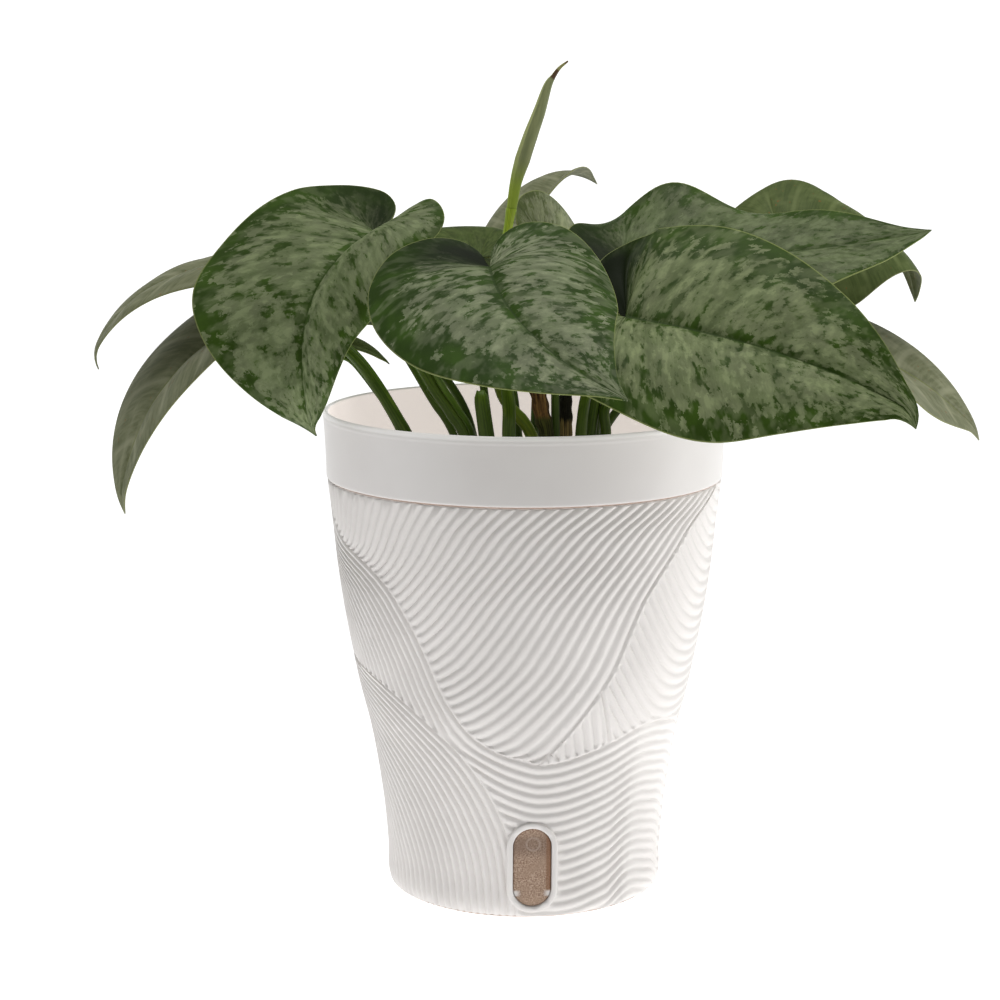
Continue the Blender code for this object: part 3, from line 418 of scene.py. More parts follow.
def liner_outside(height):
    """Outer radius of the liner's wall, clear of the outer pot's inside."""
    return pot_radius(height) - RIB_HEIGHT - POT_WALL - LINER_CLEARANCE


# Shader values and finishes


def srgb(red, green, blue):
    """A colour as seen on a screen, from 0 to 255, in the linear numbers that a shader takes."""
    def linear(c):
        c /= 255
        return c / 12.92 if c <= 0.04045 else ((c + 0.055) / 1.055) ** 2.4
    return (linear(red), linear(green), linear(blue))


def shade(colour, share):
    return tuple(c * share for c in colour)


class Value:
    """A number that varies over a surface. Sums on it add the shader nodes that work them out."""

    def __init__(self, finish, socket):
        self.finish = finish
        self.socket = socket

    def __add__(self, other):
        return self.finish.sum("ADD", self, other)

    __radd__ = __add__

    def __mul__(self, other):
        return self.finish.sum("MULTIPLY", self, other)

    __rmul__ = __mul__

    def __sub__(self, other):
        return self.finish.sum("SUBTRACT", self, other)

    def __rsub__(self, other):
        return self.finish.sum("SUBTRACT", other, self)

    def __pow__(self, other):
        return self.finish.sum("POWER", self, other)


class Finish:
    """One material, with the nodes that its finish is made of."""

    def __init__(self, name, **constants):
        self.material = bpy.data.materials.new(name)
        self.material.use_nodes = True
        self.nodes = self.material.node_tree.nodes
        self.links = self.material.node_tree.links
        self.shader = self.nodes["Principled BSDF"]
        for socket, value in constants.items():
            self.shader.inputs[socket.replace("_", " ")].default_value = value

    def node(self, kind, settings=None, inputs=None, output=0):
        """Any shader node: its settings first, then the values or links of its sockets."""
        node = self.nodes.new("ShaderNode" + kind)
        for name, value in (settings or {}).items():
            setattr(node, name, value)
        self.feed(node, inputs or {})
        return Value(self, node.outputs[output])

    def feed(self, node, inputs):
        for socket, value in inputs.items():
            if isinstance(value, Value):
                self.links.new(value.socket, node.inputs[socket])
            elif isinstance(value, tuple) and node.inputs[socket].type == "RGBA":
                node.inputs[socket].default_value = (*value, 1.0)
            else:
                node.inputs[socket].default_value = value

    def surface(self, **inputs):
        """Links values to the shader's own sockets."""
        self.feed(self.shader, {name.replace("_", " "): value for name, value in inputs.items()})

    def sum(self, operation, *values):
        return self.node("Math", {"operation": operation}, dict(enumerate(values)))

    def step(self, value, low, high):
        """0 below low, 1 above high, with a soft rise between."""
        return self.node("MapRange", {"interpolation_type": "SMOOTHSTEP"}, {0: value, 1: low, 2: high})

    def attribute(self, name):
        return self.node("Attribute", {"attribute_name": name}, output="Vector")

    def place(self):
        return self.node("TexCoord", output="Object")

    def parts(self, vector):
        node = self.node("SeparateXYZ", inputs={0: vector}).socket.node
        return [Value(self, socket) for socket in node.outputs]

    def vector(self, x, y, z):
        return self.node("CombineXYZ", inputs={0: x, 1: y, 2: z})

    def noise(self, vector, scale, detail=3, distortion=0.0):
        return self.node("TexNoise", inputs={"Vector": vector, "Scale": scale, "Detail": detail,
                                             "Distortion": distortion})

    def cells(self, vector, scale, distance="EUCLIDEAN"):
        """One random number for each cell of a patchwork."""
        colour = self.node("TexVoronoi", {"distance": distance}, {"Vector": vector, "Scale": scale}, "Color")
        return self.node("SeparateColor", inputs={0: colour})

    def mix(self, factor, a, b):
        """Colour a where the factor is 0, b where it is 1."""
        return self.node("Mix", {"data_type": "RGBA"}, {0: factor, 6: a, 7: b}, 2)

    def bump(self, height, distance, strength=1.0):
        return self.node("Bump", inputs={"Height": height, "Distance": distance, "Strength": strength})


def leaf_top_finish(name, silver, dark, cover, rim, painted_shade, painted_shade_side):
    """Upper face of a leaf: a silver bloom, broken by dark green patches and dashes along the side veins.

    cover moves the share of silver, rim says how wide the green along the margin is, and the last two set
    the painted
    shade beside the notch: how dark it is, and whether it falls on the leaf's left half (side 1) or right
    half (side -1). On that half the painted shade also widens the green margin and takes silver from the
    lobe.
    """
    f = Finish(name, Specular_IOR_Level=0.09)
    row, across, seed = f.parts(f.attribute("vein"))
    out = f.sum("ABSOLUTE", across)
    slow = f.noise(f.vector(row * 12, across * 3, seed + 9), 1.0, 2) - 0.5
    patch = f.noise(f.vector(row * 34, across * 3.6, seed), 1.0, 3) - 0.5
    dash = f.noise(f.vector(row * 66, across * 7.5, seed + 5), 1.0, 3, 0.2) - 0.5
    jag = f.noise(f.vector(row * 190, across * 40, seed), 1.0, 2) - 0.5
    fleck = f.cells(f.vector(row * 72 + jag * 1.4, across * 13 + jag * 1.2, seed + 3), 1.0,
                    "CHEBYCHEV") - 0.5
    thread = f.noise(f.vector(row * 270, across * 13, seed + 1), 1.0, 2) - 0.5

    # Painted shade beside the notch, on the shaded half: the green margin widens and the lobe loses silver
    # there.
    shaded_half = f.step(across * painted_shade_side, -0.10, 0.12)
    margin = f.step(out + slow * 0.26 + shaded_half * painted_shade * 0.07, 1.0 - rim, 1.06)
    lobe = (1 - f.step(row, 0.15, 0.60)) * f.step(out, 0.45, 0.95) * (shaded_half * painted_shade * 0.30 + 0.06)
    spine = (1 - f.step(out, 0.02, 0.13)) * f.step(row, 0.10, 0.35)
    bloom = patch * 0.70 + dash * 1.10 + fleck * (margin * 0.50 + 0.24) + thread * 0.18 + slow * 0.25
    bloom = bloom + 0.5 + cover
    # Painted shadow beside the notch: less silver here, and further down a near black green.
    shadow = (1 - f.step(row, 0.12, 0.44)) * shaded_half * (1 - f.step(out, 0.60, 1.50)) * painted_shade
    bloom = bloom - margin * 0.44 - lobe - spine * 0.24 - shadow * 0.22
    green = 1 - f.step(bloom, 0.36, 0.56)
    depth = f.noise(f.vector(row * 44, across * 6, seed + 7), 1.0, 2)
    marks = green * (0.62 + f.step(depth, 0.38, 0.56) * 0.38)

    # Dark lines along the side veins: partly the veins' own colour, partly painted shade in the creases
    # between the swellings.
    line = f.sum("PINGPONG", row * VEINS + slow * 0.12, 0.5) * 2
    vein = (1 - f.step(line, 0.01, 0.30)) * (1 - f.step(out, 0.45, 0.95)) * f.step(row, 0.12, 0.2)
    spine_line = 1 - f.step(out, 0.006, 0.020)
    cloud = f.noise(f.vector(row * 18, across * 4, seed + 2), 1.0, 3)
    pale = f.mix(f.step(cloud, 0.3, 0.7), shade(silver, 0.78), shade(silver, 1.18))
    pale = f.mix(f.step(slow, -0.12, 0.14) * 0.20, pale, shade(dark, 2.0))
    pale = f.mix(f.step(thread, -0.14, 0.12) * 0.30, pale, shade(silver, 0.60))
    pale = f.mix(f.step(bloom, 0.62, 0.86) * 0.6, pale, shade(silver, 1.5))
    deep = f.mix(f.step(cloud, 0.35, 0.75), shade(dark, 0.75), shade(dark, 1.35))
    colour = f.mix(marks, pale, deep)
    colour = f.mix(f.sum("MAXIMUM", vein * 0.30, spine_line * 0.7), colour, shade(dark, 0.7))
    # Painted shadow beside the notch, in near black green.
    colour = f.mix(shadow, colour, shade(dark, 0.14))
    colour = f.mix(f.step(out, 0.989, 0.997) * 0.8, colour, srgb(142, 152, 92))
    skin = f.noise(f.vector(row * 500, across * 150, seed), 1.0, 2)
    f.surface(Base_Color=colour, Roughness=0.56 - green * 0.06 + cloud * 0.06,
              Normal=f.bump(skin * 0.5 + thread * 0.5, 0.14 * MM, 0.5))
    return f.material


def leaf_striped_finish(name, ground, stripe, dark):
    """A matt leaf face, under or upper, with paler side veins and a few brown specks."""
    f = Finish(name, Specular_IOR_Level=0.14)
    row, across, seed = f.parts(f.attribute("vein"))
    out = f.sum("ABSOLUTE", across)
    cloud = f.noise(f.vector(row * 12, across * 4, seed), 1.0, 3)
    thread = f.noise(f.vector(row * 120, across * 3, seed + 1), 1.0, 3)
    line = f.sum("PINGPONG", row * VEINS, 0.5) * 2
    vein = (1 - f.step(line, 0.02, 0.22)) * (1 - f.step(out, 0.7, 1.0))
    colour = f.mix(f.step(thread, 0.3, 0.7) * 0.8, ground, dark)
    colour = f.mix(f.step(cloud, 0.4, 0.75) * 0.5, colour, stripe)
    colour = f.mix(vein * 0.55, colour, stripe)
    spine = 1 - f.step(out, 0.015, 0.035)
    colour = f.mix(spine * 0.8, colour, srgb(122, 130, 78))
    speck = f.step(f.noise(f.vector(row * 60, across * 16, seed + 7), 1.0, 1), 0.73, 0.77)
    colour = f.mix(speck * 0.7, colour, srgb(140, 88, 44))
    colour = f.mix(f.step(out, 0.986, 0.996) * 0.7, colour, srgb(134, 138, 88))
    f.surface(Base_Color=colour, Roughness=0.56 + cloud * 0.1, Normal=f.bump(thread, 0.2 * MM, 0.6))
    return f.material


def stalk_finish(name, green, edge, dark, dark_below):
    """Stalks: fine streaks along them, a lighter ridge, darker freckles, and a darker foot."""
    f = Finish(name, Specular_IOR_Level=0.22)
    x, y, run = f.parts(f.attribute("grain"))
    streak = f.noise(f.vector(x * 5, y * 5, run * 0.4), 1.0, 3)
    cloud = f.noise(f.vector(x, y, run * 0.7), 1.0, 2)
    colour = f.mix(f.step(streak, 0.35, 0.65), green, dark)
    ridge = f.step(y, 0.80, 0.97)
    colour = f.mix(ridge * 0.6, colour, edge)
    freckle = f.step(f.noise(f.vector(x * 9, y * 9, run * 6), 1.0, 1), 0.68, 0.74)
    colour = f.mix(freckle * 0.45, colour, srgb(74, 58, 30))
    colour = f.mix(f.step(cloud, 0.55, 0.8) * 0.4, colour, edge)
    height = f.parts(f.place())[2]
    colour = f.mix((1 - f.step(height, dark_below - 30 * MM, dark_below)) * 0.6, colour, srgb(44, 64, 14))
    f.surface(Base_Color=colour, Roughness=0.42 + streak * 0.15, Normal=f.bump(streak, 0.15 * MM, 0.6))
    return f.material


def cut_stem_finish(name, bark, inside, low, low_height):
    """Dry stubs: brown bark with splits, and another tone on their lower part."""
    f = Finish(name, Specular_IOR_Level=0.2)
    x, y, run = f.parts(f.attribute("grain"))
    split = f.noise(f.vector(x * 6, y * 6, run * 0.8), 1.0, 4)
    cloud = f.noise(f.vector(x * 2, y * 2, run * 2), 1.0, 3)
    colour = f.mix(f.step(split, 0.4, 0.62), bark, inside)
    colour = f.mix(f.step(cloud, 0.5, 0.62) * 0.7, colour, shade(inside, 0.35))
    height = f.parts(f.place())[2] + (split - 0.5) * 5 * MM
    foot = 1 - f.step(height, low_height - 1.5 * MM, low_height + 1.5 * MM)
    colour = f.mix(foot, colour, f.mix(f.step(split, 0.4, 0.6), low, shade(low, 0.3)))
    f.surface(Base_Color=colour, Roughness=0.7 + split * 0.2, Normal=f.bump(split, 0.6 * MM))
    return f.material


def rolled_leaf_finish():
    """The new leaf: pale green, yellower along its free edge, brown where it is torn near the tip."""
    f = Finish("new leaf green", Specular_IOR_Level=0.3)
    turn, share, seam = f.parts(f.attribute("roll"))
    streak = f.noise(f.vector(turn * 9, share * 5, 0.0), 1.0, 3)
    body = f.mix(f.step(streak, 0.35, 0.65), srgb(132, 140, 96), srgb(152, 158, 110))
    flap = f.mix(f.step(streak, 0.3, 0.7), srgb(180, 186, 126), srgb(160, 170, 108))
    colour = f.mix(f.step(seam, 0.45, 0.55), body, flap)
    colour = f.mix((1 - f.step(share, 0.06, 0.28)) * 0.9, colour, srgb(152, 176, 50))
    colour = f.mix(f.step(share, 0.72, 0.86) * 0.6, colour, srgb(168, 162, 98))
    torn = f.step(share, 0.70, 0.735) * (1 - f.step(share, 0.83, 0.86)) * (1 - f.step(seam, 0.3, 0.6))
    colour = f.mix(torn * 0.9, colour, srgb(84, 50, 34))
    colour = f.mix(f.step(share, 0.93, 0.985) * 0.85, colour, srgb(104, 74, 46))
    f.surface(Base_Color=colour, Roughness=0.5 + streak * 0.1, Normal=f.bump(streak, 0.2 * MM, 0.5))
    return f.material


def outer_pot_finish():
    """Moulded white plastic, a little dusty in patches, with a stained line at its foot and a brown line of
    painted shade along the seam, where the liner's band stands over a gap.
    """
    f = Finish("moulded white plastic", Specular_IOR_Level=0.5)
    place = f.place()
    z = f.parts(place)[2]
    cloud = f.noise(place, 18.0, 4)
    grain = f.noise(place, 2600.0, 2)
    colour = f.mix(f.step(cloud, 0.35, 0.7), srgb(238, 234, 231), srgb(229, 225, 222))
    yellow = f.step(f.noise(place, 34.0, 2), 0.70, 0.80) * f.step(z, 0.150, 0.168)
    colour = f.mix(yellow * 0.35, colour, srgb(240, 230, 196))
    # Patchy stain along the foot; at the seam along the top edge the same mark is painted shade of the gap
    # under the liner's band.
    stain_and_shade_patches = f.noise(place, 90.0, 3)
    foot_stain_and_seam_shade = (1 - f.step(z, 0.3 * MM, 1.1 * MM)) + f.step(z, SEAM_HEIGHT - 0.5 * MM, SEAM_HEIGHT)
    colour = f.mix(foot_stain_and_seam_shade * f.step(stain_and_shade_patches, 0.1, 0.5) * 0.85, colour, srgb(158, 126, 102))
    f.surface(Base_Color=colour, Roughness=0.34 + cloud * 0.10, Normal=f.bump(grain, 0.02 * MM, 0.35))
    return f.material


def liner_finish():
    """White plastic of the liner: glossier and slightly pink inside. Its inside and its bead glow with
    painted light, and the band's foot has a painted shade line.
    """
    f = Finish("glossy white plastic", Specular_IOR_Level=0.5, Emission_Strength=0.55)
    place = f.place()
    x, y, z = f.parts(place)
    cloud = f.noise(place, 16.0, 3)
    colour = f.mix(f.step(cloud, 0.3, 0.7), srgb(237, 234, 232), srgb(230, 226, 224))
    reach = (x * x + y * y) ** 0.5
    mouth = RIM_RADIUS - RIM_WALL
    inside = (1 - f.step(reach, mouth + 0.1 * MM, mouth + 0.5 * MM)) * f.step(z, 0.06, 0.1)
    colour = f.mix(inside * 0.8, colour, srgb(237, 230, 227))
    dirt = f.step(f.noise(place, 420.0, 2), 0.74, 0.78) * inside
    colour = f.mix(dirt * 0.5, colour, srgb(150, 120, 100))
    # Painted shade: a brownish line along the band's foot, over the gap above the outer pot.
    foot = 1 - f.step(z, SEAM_HEIGHT + 0.2 * MM, SEAM_HEIGHT + 0.9 * MM)
    colour = f.mix(foot * (1 - inside) * 0.5, colour, srgb(190, 165, 150))
    lines = f.noise(f.vector(x * 3, y * 3, z * 900), 1.0, 2)
    # Painted light: emission makes the liner glow inside the rim's mouth as if lit through its wall, and
    # gives the outer bead a grey glow as a painted highlight.
    glow = f.mix(inside, (0.0, 0.0, 0.0), srgb(250, 240, 235))
    lip = f.step(z, POT_HEIGHT - BEAD_HEIGHT, POT_HEIGHT - 0.4 * BEAD_HEIGHT) * f.step(reach, 0.07, 0.08)
    glow = f.mix(lip * (1 - inside), glow, (0.42, 0.42, 0.42))
    f.surface(Base_Color=colour, Roughness=0.24 + cloud * 0.12, Emission_Color=glow,
              Normal=f.bump(lines, 0.03 * MM, 0.3))
    return f.material


def window_finish():
    """Frosted clear plastic, taupe with what stands behind it, with a faint pale ring near the top that is a
    painted reflection. Places count from the window's middle.
    """
    f = Finish("frosted clear plastic", Specular_IOR_Level=0.3, Alpha=0.98)
    place = f.place()
    x, _, z = f.parts(place)
    grain = f.noise(place, 1500.0, 3)
    cloud = f.noise(place, 160.0, 3)
    colour = f.mix(f.step(grain, 0.35, 0.68), srgb(138, 110, 90), srgb(196, 172, 152))
    colour = f.mix(f.step(cloud, 0.4, 0.65) * 0.6, colour, srgb(164, 138, 118))
    haze = f.step(z, 3 * MM, 9 * MM) * (1 - f.step(z, 12 * MM, 17 * MM))
    colour = f.mix(haze * 0.5, colour, srgb(112, 92, 80))
    stripe = f.step(x, 5.6 * MM, 6.6 * MM) * f.step(z, -10.4 * MM, -9.8 * MM)
    colour = f.mix(stripe * 0.7, colour, srgb(134, 94, 66))
    sides = f.step(f.sum("ABSOLUTE", x), 4.4 * MM, 7.4 * MM)
    water = f.step(z, -13.8 * MM, -12.6 * MM) * (1 - f.step(z, -11.2 * MM, -10.2 * MM))
    colour = f.mix(water * sides * 0.9, colour, srgb(232, 228, 226))
    # Painted reflection: a faint pale ring near the top.
    reflection_reach = ((x - 0.4 * MM) ** 2 + (z - 11.0 * MM) ** 2) ** 0.5
    reflection_ring = f.step(reflection_reach, 2.2 * MM, 2.8 * MM) * (1 - f.step(reflection_reach, 3.0 * MM, 3.6 * MM))
    colour = f.mix(reflection_ring * 0.25, colour, srgb(206, 192, 182))
    colour = f.mix((1 - f.step(z, -16.6 * MM, -12.6 * MM)) * 0.4, colour, srgb(196, 168, 146))
    f.surface(Base_Color=colour, Roughness=0.56 + grain * 0.25, Normal=f.bump(grain, 0.15 * MM, 0.8))
    return f.material


def soil_finish():
    """Dark potting soil, each crumb with its own tone."""
    f = Finish("potting soil", Specular_IOR_Level=0.15)
    place = f.place()
    tone = f.node("Attribute", {"attribute_name": "tone"}, output="Fac")
    grain = f.noise(place, 700.0, 4)
    cloud = f.noise(place, 60.0, 3)
    colour = f.mix(f.step(grain, 0.35, 0.65), srgb(44, 32, 24), srgb(78, 58, 42))
    colour = f.mix(f.step(cloud, 0.5, 0.7) * 0.5, colour, srgb(30, 22, 17))
    colour = f.mix(tone, colour, srgb(124, 96, 66))
    f.surface(Base_Color=colour, Roughness=0.86 + grain * 0.1, Normal=f.bump(grain, 0.8 * MM))
    return f.material


# Meshes


def piece(name, mesh, finishes, slot, *nodes):
    """Puts a mesh in the scene as a piece of the body, in place of the frame's solids that it stands for."""
    obj = bpy.data.objects.new(name, mesh)
    bpy.context.scene.collection.objects.link(obj)
    for finish in finishes:
        mesh.materials.append(finish)
    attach(obj, "root")
    if nodes:
        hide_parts(*nodes)
    return obj


def mesh_of(name, points, faces, smooth=True):
    mesh = bpy.data.meshes.new(name)
    mesh.from_pydata([tuple(map(float, p)) for p in points], [], faces)
    mesh.polygons.foreach_set("use_smooth", [smooth] * len(mesh.polygons))
    mesh.update()
    return mesh


def keep(mesh, name, rows):
    """Stores three numbers for each point, which the finishes read."""
    attribute = mesh.attributes.new(name, "FLOAT_VECTOR", "POINT")
    attribute.data.foreach_set("vector", np.asarray(rows, np.float32).ravel())


def keep_tone(mesh, tones):
    """Stores one number for each point, how pale the soil is there."""
    attribute = mesh.attributes.new("tone", "FLOAT", "POINT")
    attribute.data.foreach_set("value", np.asarray(tones, np.float32))


def ring_faces(start, lower, count):
    """Faces between two rings of points, the second one after the first."""
    return [(start + i, start + (i + 1) % count, lower + (i + 1) % count, lower + i) for i in range(count)]


def turned(name, profile, steps, sharp):
    """A closed profile of (radius, height) points from axis to axis, outer side first, turned about Z."""
    points, faces = [], []
    turns = np.arange(steps) * 2 * math.pi / steps
    for r, z in profile[1:-1]:
        points += [(r * math.sin(t), -r * math.cos(t), z) for t in turns]
    for n in range(len(profile) - 3):
        faces += ring_faces((n + 1) * steps, n * steps, steps)
    top, bottom = len(points), len(points) + 1
    points += [(0, 0, profile[0][1]), (0, 0, profile[-1][1])]
    last = (len(profile) - 3) * steps
    faces += [(top, i, (i + 1) % steps) for i in range(steps)]
    faces += [(bottom, last + (i + 1) % steps, last + i) for i in range(steps)]
    mesh = mesh_of(name, points, faces)
    face_out(mesh)
    mesh.set_sharp_from_angle(angle=math.radians(sharp))
    return mesh


def face_out(mesh):
    bm = bmesh.new()
    bm.from_mesh(mesh)
    bmesh.ops.recalc_face_normals(bm, faces=bm.faces)
    bm.to_mesh(mesh)
    bm.free()


# The pot


class RibbedSheet:
    """The pot's unrolled side as polygons, cut along the edges of the rib fields and lines of every rib."""

    def __init__(self):
        self.columns = 2 * round(math.pi * MIDDLE_RADIUS / SHEET_STEP)
        top, band = SEAM_HEIGHT / MM, EDGE_BAND / MM
        rows = round((SEAM_HEIGHT - 2 * EDGE_BAND) / SHEET_STEP)
        self.heights = [0, *np.linspace(band, top - band, rows + 1), top]
        self.angle, self.height, self.rise, self.halves = [], [], {}, {}
        for z in self.heights:
            for i in range(self.columns):
                self.angle.append(PATTERN_START + 360 * i / self.columns)
                self.height.append(z)
        bands, ribbed = [], {0: [], 1: []}
        for n in range(len(self.heights) - 1):
            for i in range(self.columns):
                a, b = n * self.columns + i, n * self.columns + (i + 1) % self.columns
                square = (a, b, b + self.columns, a + self.columns)
                if n in (0, len(self.heights) - 2):
                    bands.append(square)
                elif (n + i) % 2:
                    ribbed[2 * i // self.columns] += [square[:3], (square[0], square[2], square[3])]
                else:
                    ribbed[2 * i // self.columns] += [(square[0], square[1], square[3]), square[1:]]
        self.polygons = bands
        for half, left in ribbed.items():
            for inside, ends, phase in FIELDS:
                left = self.cut_field(left, half, inside, ends, phase)
            self.polygons += left
        self.polygons = [self.whole(polygon) for polygon in self.polygons]

    def local(self, points, half):
        """Angles and heights of points, the angles as the pattern counts them in this half of the pot."""
        angle = np.array([self.angle[p] for p in points]) - PATTERN_TURN * half
        height = np.array([self.height[p] for p in points])
        return np.where(angle < PATTERN_START - 1e-6, angle + 360, angle), height

    def whole(self, polygon):
        """The polygon with every point that has been put on its edges."""
        out = []
        for a, b in zip(polygon, (*polygon[1:], polygon[0])):
            out.append(a)
            self.fill(a, b, out)
        return tuple(out)

    def fill(self, a, b, out):
        """Adds the points that lie between a and b on their edge, in order."""
        middle = self.halves.get((min(a, b), max(a, b)))
        if middle is not None:
            self.fill(a, middle, out)
            out.append(middle)
            self.fill(middle, b, out)

    def between(self, a, b, share):
        """The point that divides the edge from a to b at this share of its length."""
        pair = (min(a, b), max(a, b))
        if pair not in self.halves:
            if pair[0] != a:
                share = 1 - share
            first, second = self.angle[pair[0]], self.angle[pair[1]]
            if abs(second - first) > 180:
                first, second = (first + 360, second) if first < second else (first, second + 360)
            self.halves[pair] = len(self.angle)
            self.angle.append(first + (second - first) * share)
            self.height.append(self.height[pair[0]] + (self.height[pair[1]] - self.height[pair[0]]) * share)
        return self.halves[pair]

    def split(self, polygon, value, level):
        """The parts of a polygon below and above a level of the value at its corners."""
        below, above = [], []
        for a, b in zip(polygon, (*polygon[1:], polygon[0])):
            low, high = value[a] - level, value[b] - level
            if low <= 0:
                below.append(a)
            if low >= 0:
                above.append(a)
            if low * high < 0:
                cut = self.between(a, b, low / (low - high))
                value[cut] = level
                below.append(cut)
                above.append(cut)
        return tuple(below), tuple(above)

    def cut_field(self, polygons, half, inside, ends, phase):
        """Cuts the ribs of one field and gives back what lies outside it."""
        outside, field = self.cut_level(polygons, half, inside, 0.0)
        groove, rest = self.cut_level(field, half, ends, EDGE_GROOVE)
        fading, plain = self.cut_level(rest, half, ends, EDGE_GROOVE + EDGE_FADE)
        triangles = self.triangles(groove + fading + plain)
        value = self.values(triangles, half, phase)
        for p, count in value.items():
            rib = math.floor(count)
            for share in (*(s for s, _ in RIB_SECTION), 1.0):
                if abs(count - rib - share) < RIB_SNAP:
                    value[p] = rib + share
        first = len(self.polygons)
        for triangle in triangles:
            self.cut_ribs(triangle, value)
        depth = self.values(self.polygons[first:], half, ends)
        for p, deep in depth.items():
            rib = float(np.interp(value[p] - math.floor(value[p]), *zip(*RIB_SECTION, (1.0, 0.0))))
            even = RIB_TOP - (RIB_TOP - rib) * float(soft_step(deep, EDGE_GROOVE, EDGE_GROOVE + EDGE_FADE))
            rise = even * float(soft_step(deep, 0, EDGE_GROOVE))
            self.rise[p] = min(self.rise.get(p, 1.0), rise)
        return outside

    def cut_level(self, polygons, half, function, level):
        """The parts of polygons on which a function of angle and height is below a level and above it."""
        triangles = self.triangles(polygons)
        value = self.values(triangles, half, function)
        for p in value:
            if abs(value[p] - level) < FIELD_SNAP:
                value[p] = level
        below_level, above_level = [], []
        for triangle in triangles:
            below, above = self.split(triangle, value, level)
            if len(above) > 2 and max(value[p] for p in above) > level:
                above_level.append(above)
            if len(below) > 2 and (min(value[p] for p in below) < level or below == above):
                below_level.append(below)
        return below_level, above_level

    def values(self, polygons, half, function):
        points = sorted({p for polygon in polygons for p in polygon})
        if not points:
            return {}
        angle, height = self.local(points, half)
        return dict(zip(points, map(float, function(angle, height))))

    def triangles(self, polygons):
        """Triangles of the polygons, round a middle point of each that has more than three corners."""
        out = []
        for polygon in map(self.whole, polygons):
            if len(polygon) == 3:
                out.append(polygon)
                continue
            middle = len(self.angle)
            angles = [self.angle[p] for p in polygon]
            angles = [a + 360 if max(angles) - a > 180 else a for a in angles]
            self.angle.append(sum(angles) / len(angles))
            self.height.append(sum(self.height[p] for p in polygon) / len(polygon))
            out += [(middle, a, b) for a, b in zip(polygon, (*polygon[1:], polygon[0]))]
        return out

    def cut_ribs(self, triangle, value):
        low, high = min(value[p] for p in triangle), max(value[p] for p in triangle)
        rest = self.whole(triangle)
        ribs = range(math.floor(low), math.floor(high) + 1)
        for level in (rib + share for rib in ribs for share, _ in RIB_SECTION):
            if low < level < high:
                part, rest = self.split(rest, value, level)
                if len(part) > 2:
                    self.polygons.append(part)
        if len(rest) > 2:
            self.polygons.append(rest)


def make_outer_pot(finish):
    sheet = RibbedSheet()
    angle = np.radians(sheet.angle)
    height = np.array(sheet.height) * MM
    rise = np.array([sheet.rise.get(p, 0.0) for p in range(len(angle))])
    radius = pot_radius(height) - RIB_HEIGHT * (1 - rise)
    points = list(np.stack([radius * np.sin(angle), -radius * np.cos(angle), height], 1))
    faces = list(sheet.polygons)
    count = sheet.columns
    turns = angle[:count]
    top = (len(sheet.heights) - 1) * count
    wall = RIB_HEIGHT + POT_WALL
    inner = [(pot_radius(SEAM_HEIGHT) - RIB_HEIGHT - SEAM_LEDGE, SEAM_HEIGHT)]
    inner += [(pot_radius(z * MM) - wall, z * MM) for z in HOLLOW_HEIGHTS]
    inner += [(inner[-1][0] - FLOOR_STEP, POT_FLOOR)]
    foot = pot_radius(0) - RIB_HEIGHT - FOOT_WIDTH
    under = [(foot, 0), (foot, FOOT_HEIGHT), (BOSS_RADIUS, FOOT_HEIGHT)]
    for rings, before in ((inner, top), (under, 0)):
        for r, z in rings:
            start = len(points)
            points += [(r * math.sin(t), -r * math.cos(t), z) for t in turns]
            faces += ring_faces(start, before, count)
            before = start
        centre = len(points)
        points.append((0, 0, rings[-1][1]))
        faces += [(before + i, before + (i + 1) % count, centre) for i in range(count)]
    mesh = mesh_of("outer_pot_moulded", points, faces)
    face_out(mesh)
    mesh.set_sharp_from_angle(angle=SHARP_RIBS)
    pot = piece("outer_pot_moulded", mesh, [finish], "white_plastic", "outer_pot")
    outside = pot_radius(WINDOW_CENTRE)
    frame_ring = capsule("window_frame", WINDOW_WIDTH + 2 * FRAME_WIDTH, WINDOW_HEIGHT + 2 * FRAME_WIDTH,
                         FRAME_DEPTH)
    round_edge(frame_ring, 0.7 * MM, 3)
    on_front(frame_ring, outside + FRAME_RISE - FRAME_DEPTH / 2)
    hole = on_front(capsule("window_hole", WINDOW_WIDTH, WINDOW_HEIGHT, 4 * FRAME_DEPTH), outside)
    for cutter, operation in ((frame_ring, "UNION"), (hole, "DIFFERENCE")):
        modifier = pot.modifiers.new(operation.title(), "BOOLEAN")
        modifier.operation = operation
        modifier.object = cutter
        modifier.solver = "MANIFOLD"
    bpy.context.view_layer.update()
    cut = bpy.data.meshes.new_from_object(pot.evaluated_get(bpy.context.evaluated_depsgraph_get()))
    pot.modifiers.clear()
    pot.data = cut
    for cutter in (frame_ring, hole):
        bpy.data.objects.remove(cutter, do_unlink=True)
    return pot


def capsule(name, width, height, depth):
    """An upright plate with round ends."""
    radius, straight = width / 2, (height - width) / 2
    outline = []
    for half, lift in ((0, straight), (1, -straight)):
        for step in range(CAPSULE_STEPS + 1):
            turn = math.pi * (half + step / CAPSULE_STEPS)
            outline.append((radius * math.cos(turn), lift + radius * math.sin(turn)))
    count = len(outline)
    points = [(x, y, z) for y in (-depth / 2, depth / 2) for x, z in outline]
    faces = [tuple(range(count))[::-1], tuple(range(count, 2 * count))]
    faces += [(i, (i + 1) % count, count + (i + 1) % count, count + i) for i in range(count)]
    mesh = mesh_of(name, points, faces)
    face_out(mesh)
    obj = bpy.data.objects.new(name, mesh)
    bpy.context.scene.collection.objects.link(obj)
    return obj


def round_edge(obj, width, segments):
    rounded = obj.modifiers.new("Rounded edge", "BEVEL")
    rounded.width = width
    rounded.segments = segments
    rounded.limit_method = "ANGLE"


